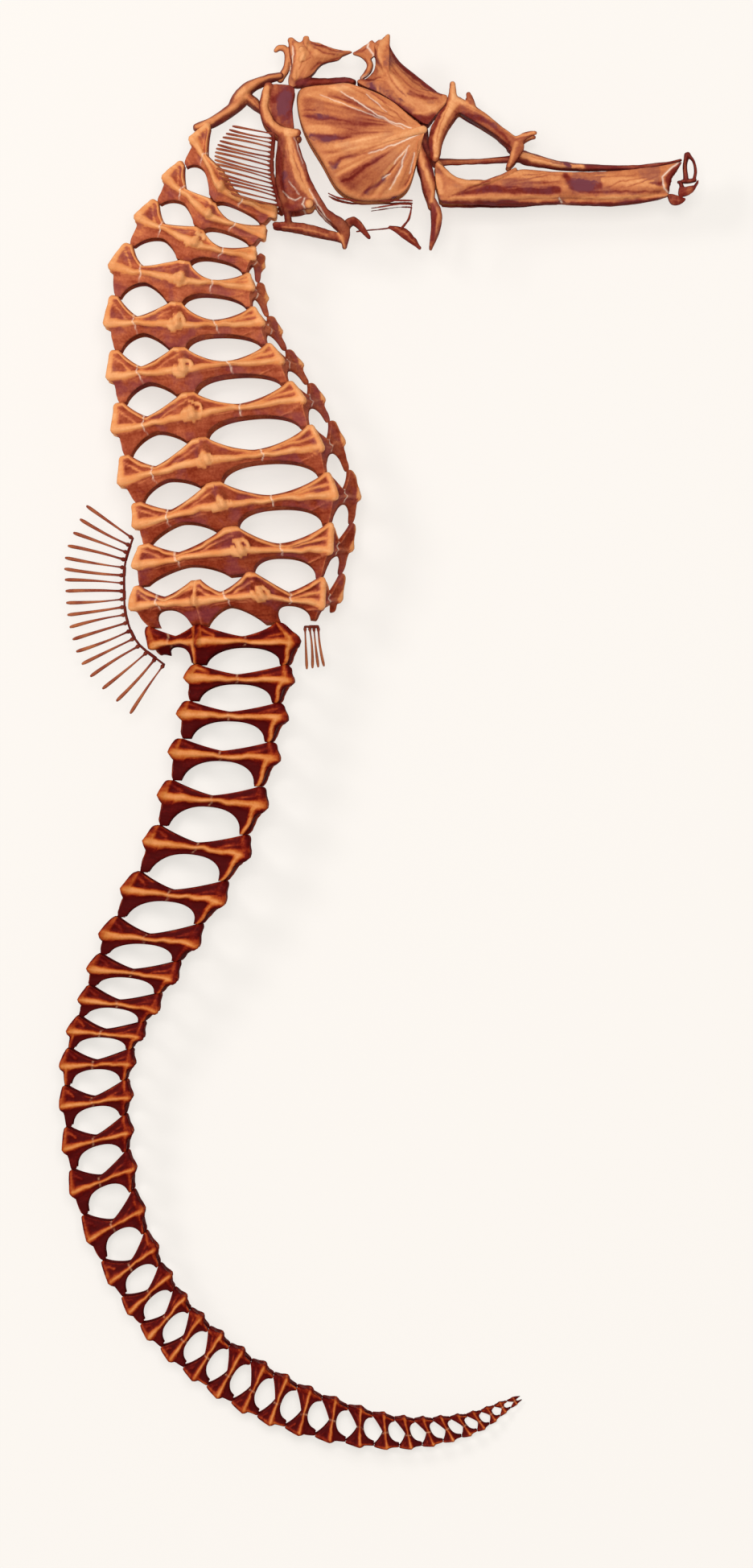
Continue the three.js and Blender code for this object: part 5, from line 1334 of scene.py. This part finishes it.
# ---------------------------------------------------------------- gill cover
HINGE = np.array([5.0, 64.45])
OPERCLE_EDGE = [
    [4.2, 65.3], [3.2, 65.9], [1.7, 67.3], [-0.2, 68.4], [-2.3, 69.2], [-3.5, 69.5], [-5.2, 69.35],
    [-7.0, 69.25], [-8.2, 68.9], [-8.55, 67.7], [-8.2, 65.6], [-7.4, 63.6], [-5.9, 61.1], [-4.4, 58.5],
    [-2.7, 57.3], [-0.6, 57.05], [1.7, 57.35], [3.1, 58.3], [3.85, 60.3], [4.05, 62.7], [4.6, 63.7],
]

GILL_MARKS = {
    "tones": [
        (0.86, [[4.72, 64.43, 0.3], [2.41, 63.76, 0.5], [-0.02, 63.28, 0.65], [-2.45, 62.79, 0.45],
            [-4.27, 62.67, 0.25]]),
        (0.8, [[-8.03, 68.13, 0.25], [-6.7, 68.5, 0.3], [-4.88, 68.74, 0.25], [-2.93, 69.1, 0.2]]),
        (0.6, [[-5.12, 64.98, 0.3], [-3.66, 65.1, 0.5], [-1.84, 65.22, 0.55], [0.59, 64.85, 0.25]]),
        (0.28, [[-5.24, 68.13, 0.02], [-4.03, 67.74, 0.12], [-2.93, 67.31, 0.15], [-1.23, 66.53, 0.1],
            [0.59, 65.51, 0.03]]),
        (0.35, [[-3.66, 68.13, 0.02], [-2.45, 67.47, 0.08], [-1.23, 66.65, 0.06], [-0.02, 66.04, 0.02]]),
        (0.36, [[-0.63, 68.32, 0.02], [0.71, 67.26, 0.05], [1.92, 66.19, 0.06], [3.02, 65.16, 0.02]]),
        (0.45, [[-2.2, 68.62, 0.02], [-0.99, 67.89, 0.07], [0.59, 66.55, 0.05], [1.8, 65.58, 0.02]]),
        (0.28, [[-7.91, 66.58, 0.04], [-7.3, 66.58, 0.09], [-6.58, 66.55, 0.04]]),
        (0.3, [[-7.91, 65.92, 0.05], [-6.09, 65.7, 0.2], [-4.51, 65.52, 0.1], [-2.93, 65.22, 0.02]]),
        (0.5, [[-7.55, 65.1, 0.05], [-5.73, 64.98, 0.16], [-3.9, 64.61, 0.1], [-1.96, 64.25, 0.02]]),
        (0.2, [[-7.0, 63.94, 0.08], [-5.48, 63.62, 0.34], [-4.51, 63.49, 0.18], [-2.81, 63.58, 0.02]]),
        (0.5, [[-6.09, 62.18, 0.06], [-4.63, 61.94, 0.12], [-2.93, 62.06, 0.04]]),
        (0.22, [[-5.06, 60.97, 0.12], [-4.51, 60.79, 0.18], [-3.9, 61.33, 0.14], [-1.35, 61.94, 0.06],
            [0.35, 62.4, 0.01]]),
        (0.25, [[-3.78, 59.03, 0.08], [-3.05, 59.27, 0.13], [-1.23, 60.51, 0.08], [1.2, 61.94, 0.01]]),
        (0.3, [[-1.29, 57.99, 0.08], [-0.02, 58.72, 0.18], [1.2, 59.88, 0.1], [2.05, 61.03, 0.01]]),
        (0.42, [[0.95, 58.3, 0.02], [1.92, 59.63, 0.09], [2.65, 61.21, 0.06], [3.26, 62.55, 0.01]]),
        (0.3, [[2.9, 58.66, 0.08], [3.56, 60.0, 0.06], [3.77, 61.58, 0.02]]),
        (0.25, [[1.56, 57.36, 0.08], [2.77, 57.54, 0.1]]),
        (0.5, [[-2.93, 59.75, 0.03], [-1.23, 61.09, 0.07], [1.2, 62.43, 0.02]]),
    ],
    "stains": [
        (0.8, [[-7.73, 66.55, 0.03], [-6.76, 66.58, 0.06]]),
        (0.9, [[-7.55, 65.85, 0.05], [-6.09, 65.73, 0.2], [-4.39, 65.56, 0.07]]),
        (1.0, [[-6.82, 63.86, 0.08], [-5.73, 63.62, 0.3], [-4.51, 63.49, 0.14], [-3.66, 63.54, 0.03]]),
        (0.9, [[-4.94, 60.85, 0.08], [-4.57, 60.58, 0.18], [-4.03, 60.99, 0.1]]),
        (0.9, [[-1.17, 57.99, 0.06], [-0.26, 58.52, 0.18], [0.59, 59.27, 0.08]]),
        (0.8, [[1.62, 57.39, 0.06], [2.77, 57.54, 0.08]]),
    ],
    "lines": [
        (0.95, [[4.41, 64.07, 0.05], [3.02, 63.34, 0.06], [0.59, 62.4, 0.03], [-0.99, 61.88, 0.01]]),
        (0.85, [[3.5, 64.59, 0.05], [1.2, 65.32, 0.04], [-0.26, 66.07, 0.05], [-1.23, 66.74, 0.05],
            [-2.69, 67.77, 0.05], [-3.9, 68.62, 0.02]]),
        (0.6, [[2.77, 64.47, 0.03], [0.71, 65.44, 0.03], [-1.96, 66.43, 0.04], [-4.51, 67.53, 0.04],
            [-5.97, 68.25, 0.01]]),
        (0.7, [[0.95, 66.31, 0.01], [-0.02, 67.22, 0.04], [-1.23, 68.13, 0.02]]),
        (0.8, [[3.32, 62.73, 0.02], [2.53, 61.82, 0.04], [1.68, 60.85, 0.02]]),
        (0.9, [[0.53, 59.27, 0.01], [0.95, 59.57, 0.06], [1.34, 59.9, 0.02]]),
        (0.9, [[1.26, 58.18, 0.02], [2.29, 59.97, 0.06], [2.65, 61.21, 0.04], [3.14, 62.55, 0.02]]),
        (0.85, [[3.32, 59.88, 0.02], [3.62, 60.73, 0.04], [3.84, 62.06, 0.03]]),
    ],
}
HINGE_KNOB = [
    [4.78, 64.43, 4.3, 0.42], [3.87, 64.19, 4.45, 0.4, 0.35], [2.41, 63.76, 4.68, 0.34, 0.2],
    [0.59, 63.2, 4.88, 0.2, 0.06],
]


def opercle():
    """A fan from the hinge to the outline, domed as 5 mm less two squares of the distance from its middle,
    with ridges that spread from the hinge as a sum of noises in the angle."""
    rows = np.array(OPERCLE_EDGE)
    across_count, out_count = 330, 110  # spokes, and points along each
    edge = curve(np.column_stack([np.arange(len(rows)), rows]))
    outline = edge(np.linspace(0, len(rows) - 1, across_count))
    s = np.linspace(0.02, 1, out_count)
    plan = HINGE + (outline - HINGE)[:, None] * s[None, :, None]
    x, y = plan[..., 0], plan[..., 1]
    dx = x + 1.2
    z = 5.0 - np.where(dx > 0, 0.9 * (dx / 6.2) ** 2, 2.2 * (dx / 7.4) ** 2) - 2.2 * ((y - 63.6) / 6.2) ** 2
    angle = np.arctan2(y - HINGE[1], -(x - HINGE[0]))
    far = np.hypot(x - HINGE[0], y - HINGE[1])
    rib = noise(np.stack([angle * 9, far * 0.12, 0 * far], axis=-1), 3)
    fine = noise(np.stack([angle * 30, far * 0.2, 0 * far], axis=-1), 4)
    broad = noise(np.stack([angle * 4 + 3, far * 0.25, 0 * far], axis=-1), 6)
    # distance from the edge: along the spoke to the outline, or across to the first or last spoke
    spoke = np.arange(across_count)
    across_mm = np.minimum(spoke, spoke[::-1])[:, None] * 0.108 * far / 6
    rim = np.minimum(np.linalg.norm(outline - HINGE, axis=1)[:, None] * (1 - s)[None, :], across_mm)
    body = smooth_step(rim, 0.2, 1.1)
    grow = smooth_step(far, 1.0, 6.0)
    z = z + body * grow * (0.22 * (rib - 0.5) + 0.1 * (fine - 0.5))
    z = z + 0.12 * np.exp(-(((rim - 0.35) / 0.3) ** 2))
    z = z + 0.25 * np.exp(-((far / 0.9) ** 2))
    tone, stain, ray_lines = marked(x, y, 0.7, **GILL_MARKS)
    furrow = 0.26 * smooth_step(0.5 * rib + 0.5 * broad, 0.46, 0.68) + 0.42 * (fine - 0.5)
    tone = tone - body * grow * furrow
    # painted shade: the tone darkens along the plate's rounded edge
    tone = tone * (0.45 + 0.55 * smooth_step(rim, 0.02, 0.13))
    z = z + 0.12 * (tone - 0.7) * body - 0.06 * ray_lines
    # the plate is 0.6 mm thick and round at its edge, where both faces share their points
    thick = 0.6 * np.sqrt(np.clip(1 - (1 - np.clip(rim / 0.3, 0, 1)) ** 2, 0, 1))
    outer = np.stack([x, y, z - (0.6 - thick) / 2], axis=-1)
    inner = np.stack([x, y, z - 0.3 - thick / 2], axis=-1)
    border = np.ones(x.shape, bool)
    border[1:-1, 1:-1] = False
    index_out = np.arange(x.size).reshape(x.shape)
    index_in = np.where(border, index_out, index_out + x.size)
    outer[border] = (outer[border] + inner[border]) / 2
    points = np.concatenate([outer.reshape(-1, 3), inner.reshape(-1, 3)])

    def quads_of(index):
        corners = [index[:-1, :-1], index[1:, :-1], index[1:, 1:], index[:-1, 1:]]
        return np.stack(corners, axis=-1).reshape(-1, 4)

    def twice(values):
        """The same values for the outer and the inner face."""
        return np.concatenate([values, values])

    upper, lower = quads_of(index_out), quads_of(index_in)[:, ::-1]
    first = points[upper[0]]
    if np.cross(first[1] - first[0], first[2] - first[0])[2] < 0:
        upper, lower = upper[:, ::-1], lower[:, ::-1]
    quads = np.concatenate([upper, lower])
    cloudy = np.clip(0.1 + 1.2 * fine, 0, 1)
    attributes = {
        "tone": twice(np.clip(tone, 0, 1).ravel()),
        "line": twice(ray_lines.ravel()),
        "grain": twice(np.stack([far * 0.3, angle * 9, 0 * far], axis=-1).reshape(-1, 3)),
        "blotch": twice(np.where(stain > 0.05, 1 + 0.75 * stain * cloudy, 0.2).ravel()),
    }
    # the inner face's copies of the border are left out, and the hinge's knob comes in
    used = np.unique(quads)
    renumber = np.full(len(points), -1)
    renumber[used] = np.arange(len(used))
    knob_points, knob_quads = limb(HINGE_KNOB)
    knob = {"tone": 0.9, "line": 0.0, "blotch": 0.0}
    for key, values in attributes.items():
        added = knob_points if key == "grain" else np.full(len(knob_points), knob[key])
        attributes[key] = np.concatenate([values[used], added])
    points, quads = join([(points[used], renumber[quads]), (knob_points, knob_quads)])
    return points, quads, attributes


points, quads, attributes = opercle()
skull_sides(["opercle_right", "opercle_left"], points, quads, attributes)


# ---------------------------------------------------------------- fins
def line_through(rows):
    """Function of a share from 0 to 1 along a cubic through rows."""
    at = curve(np.column_stack([np.linspace(0, 1, len(rows)), np.asarray(rows, float)]))

    def place(s):
        return at(np.array([s]))[0]

    return place


RAY_SIDES = 10


def fin(node, count, base, tip, radius, knob, lift_z, side, strip, shades, start=0):
    """A fan of rays from the base line to the tip line. Each is a limb with a dark knob at its foot, thin
    just after it and thicker and lighter towards its end. A low chain of bone joins the feet: strip is its
    half width and half height. shades are the tones of a ray's foot and end. start counts the rays left out
    before the first, so that two fins can bend alike."""
    parts, tones = [], []
    for i in range(count):
        s = i / (count - 1)
        first, last = base(s), tip(s)
        length = np.linalg.norm(last - first)
        slim = 0.72 + 0.12 * math.sin(2.9 * (i + start))
        steps = [
            (0, 0.8), (0.18 / length, knob), (0.5 / length, slim), (0.4, slim + 0.05), (0.75, 1.05),
            (1 - 0.3 / length, 1.12), (1, 0.8),
        ]
        bend = 0.12 * math.sin(1.7 * (i + start))
        sideways = np.array([first[1] - last[1], last[0] - first[0], 0]) / length
        rows = []
        for f, r in steps:
            place = first + (last - first) * f + sideways * bend * math.sin(math.pi * f)
            rows.append([*place, radius * r])
        points, quads = limb(rows, RAY_SIDES, 0.25)
        parts.append((points, quads))
        along = np.repeat(np.linspace(0, 1, len(points) // RAY_SIDES), RAY_SIDES)
        lighter = (shades[1] - shades[0]) * smooth_step(along, 0.5 / length, 0.45)
        tones.append(shades[0] + lighter - 0.2 * smooth_step(along, 0.9, 1))
    for i, s in enumerate(np.linspace(0, 1, count * 2 - 1)):
        swell = (1.35 if i % 2 else 0.75) + 0.3 * math.sin(5.1 * i)
        a, b = base(max(s - 0.5 / count, 0)), base(min(s + 0.5 / count, 1))
        points, quads = limb([[*a, strip[0] * swell, strip[1]], [*b, strip[0] * swell, strip[1]]], 12, 0.2)
        parts.append((points, quads))
        tones.append(np.full(len(points), shades[0] * 0.7))
    points, quads = join(parts)
    attributes = {
        "tone": np.clip(np.concatenate(tones) + 0.3 * (noise(points * 1.2, 2) - 0.5), 0, 1),
        "line": np.zeros(len(points)),
        "grain": points * 0.4,
        "blotch": np.zeros(len(points)),
    }
    placed = points * [1, 1, side] + [0, 0, lift_z]
    order = quads if side > 0 else quads[:, ::-1]
    make_piece(f"{node}_rays", placed, order, RAY, attributes, [node])


def lined_up(line):
    """The left fin's line: two rays on along the right fin's and moved by what the view from above takes off
    for the depth between the two, so that its rays lie behind those of the right fin."""
    def moved(s):
        point = line(s + 2 / 16)
        outwards = (point - EYE) * [1, 1, 0]
        return point + outwards * 2 * point[2] / EYE_DISTANCE

    return moved


pectoral_base = line_through([[-10.9, 63.9, 5.15], [-11.1, 60.0, 5.4], [-10.3, 56.4, 5.15]])
pectoral_tip = line_through([[-15.2, 64.7, 5.3], [-16.8, 62.6, 5.5], [-16.9, 60.4, 5.6], [-15.3, 57.6, 5.6]])
pectoral = {"radius": 0.12, "knob": 1.5, "lift_z": HEAD_LIFT, "strip": (0.15, 0.3), "shades": (0.15, 0.4)}
left_base, left_tip = lined_up(pectoral_base), lined_up(pectoral_tip)
fin("pectoral_fin_right", 17, pectoral_base, pectoral_tip, side=1, **pectoral)
fin("pectoral_fin_left", 17, left_base, left_tip, side=-1, start=2, **pectoral)
dorsal_base = line_through([
    [-25.9, 21.6, 0], [-26.7, 19.0, 0], [-26.8, 16.2, 0], [-26.6, 13.4, 0], [-25.4, 10.6, 0], [-22.6, 8.3, 0],
])
dorsal_tip = line_through([
    [-30.7, 25.0, 0], [-32.8, 20.3, 0], [-32.9, 16.3, 0], [-32.4, 12.0, 0], [-30.7, 7.6, 0], [-26.1, 3.2, 0],
])
fin(
    "dorsal_fin", 18, dorsal_base, dorsal_tip,
    radius=0.17, knob=1.6, lift_z=float(lift(10.5)[0]), side=1, strip=(0.11, 0.4), shades=(0.1, 0.45),
)
anal_base = line_through([[-7.7, 12.3, 0], [-6.3, 12.3, 0]])
anal_tip = line_through([[-7.5, 7.9, 0], [-5.7, 8.2, 0]])
fin(
    "anal_fin", 4, anal_base, anal_tip,
    radius=0.14, knob=1.5, lift_z=float(lift(11.5)[0]), side=1, strip=(0.12, 0.35), shades=(0.15, 0.55),
)

# ---------------------------------------------------------------- floor, light, camera
FLOOR_HALF = 6  # half the floor's width, in metres, so that no view shows where it ends
FLOOR_Z = -0.00002  # just under the lowest bones
corners = ((-1, -1), (1, -1), (1, 1), (-1, 1))
floor_mesh = bpy.data.meshes.new("floor")
floor_mesh.from_pydata([(FLOOR_HALF * x, FLOOR_HALF * y, FLOOR_Z) for x, y in corners], [], [(0, 1, 2, 3)])
floor = bpy.data.objects.new("floor", floor_mesh)
bpy.context.scene.collection.objects.link(floor)
# Matt paper on a light table: it glows faintly, so that the bones' windows stay bright.
paper = bpy.data.materials.new("matt off-white light table")
paper.use_nodes = True
for key, value in (
    ("Base Color", linear("#8A8582")), ("Roughness", 0.9), ("Specular IOR Level", 0.1),
    ("Emission Color", linear("#FFFCF6")), ("Emission Strength", 0.66),
):
    paper.node_tree.nodes["Principled BSDF"].inputs[key].default_value = value
floor_mesh.materials.append(paper)

world = bpy.data.worlds.new("studio")
bpy.context.scene.world = world
world.use_nodes = True
background = world.node_tree.nodes["Background"]
background.inputs["Color"].default_value = linear("#FFFBF5")
background.inputs["Strength"].default_value = 0.3


def area_light(name, place, size, power):
    """White soft box of that size, turned to face the middle of the skeleton."""
    data = bpy.data.lights.new(name, "AREA")
    data.size = size
    data.energy = power
    light = bpy.data.objects.new(name, data)
    bpy.context.scene.collection.objects.link(light)
    light.location = place
    aim = Vector((0.0, 0.0, 0.006)) - Vector(place)
    light.rotation_euler = aim.to_track_quat("-Z", "Y").to_euler()


area_light("overhead", (0.0, 0.1, 0.95), 0.3, 6.7)
area_light("key", (-0.5, 0.3, 0.6), 0.2, 2.4)

SENSOR_WIDTH = 36.0
FRAME_HEIGHT = 165.6  # what the view's long side covers at the head's middle plane
camera_data = bpy.data.cameras.new("camera")
camera_data.sensor_width = SENSOR_WIDTH
camera_data.lens = SENSOR_WIDTH * EYE_DISTANCE / FRAME_HEIGHT
camera_data.clip_start = 0.05
camera_data.clip_end = 10
camera = bpy.data.objects.new("camera", camera_data)
camera.location = (EYE[0] * MM, EYE[1] * MM, (EYE_DISTANCE + HEAD_LIFT) * MM)
bpy.context.scene.collection.objects.link(camera)
bpy.context.scene.camera = camera
bpy.context.scene.view_settings.view_transform = "Standard"  # so that a finish shows the colour it is given
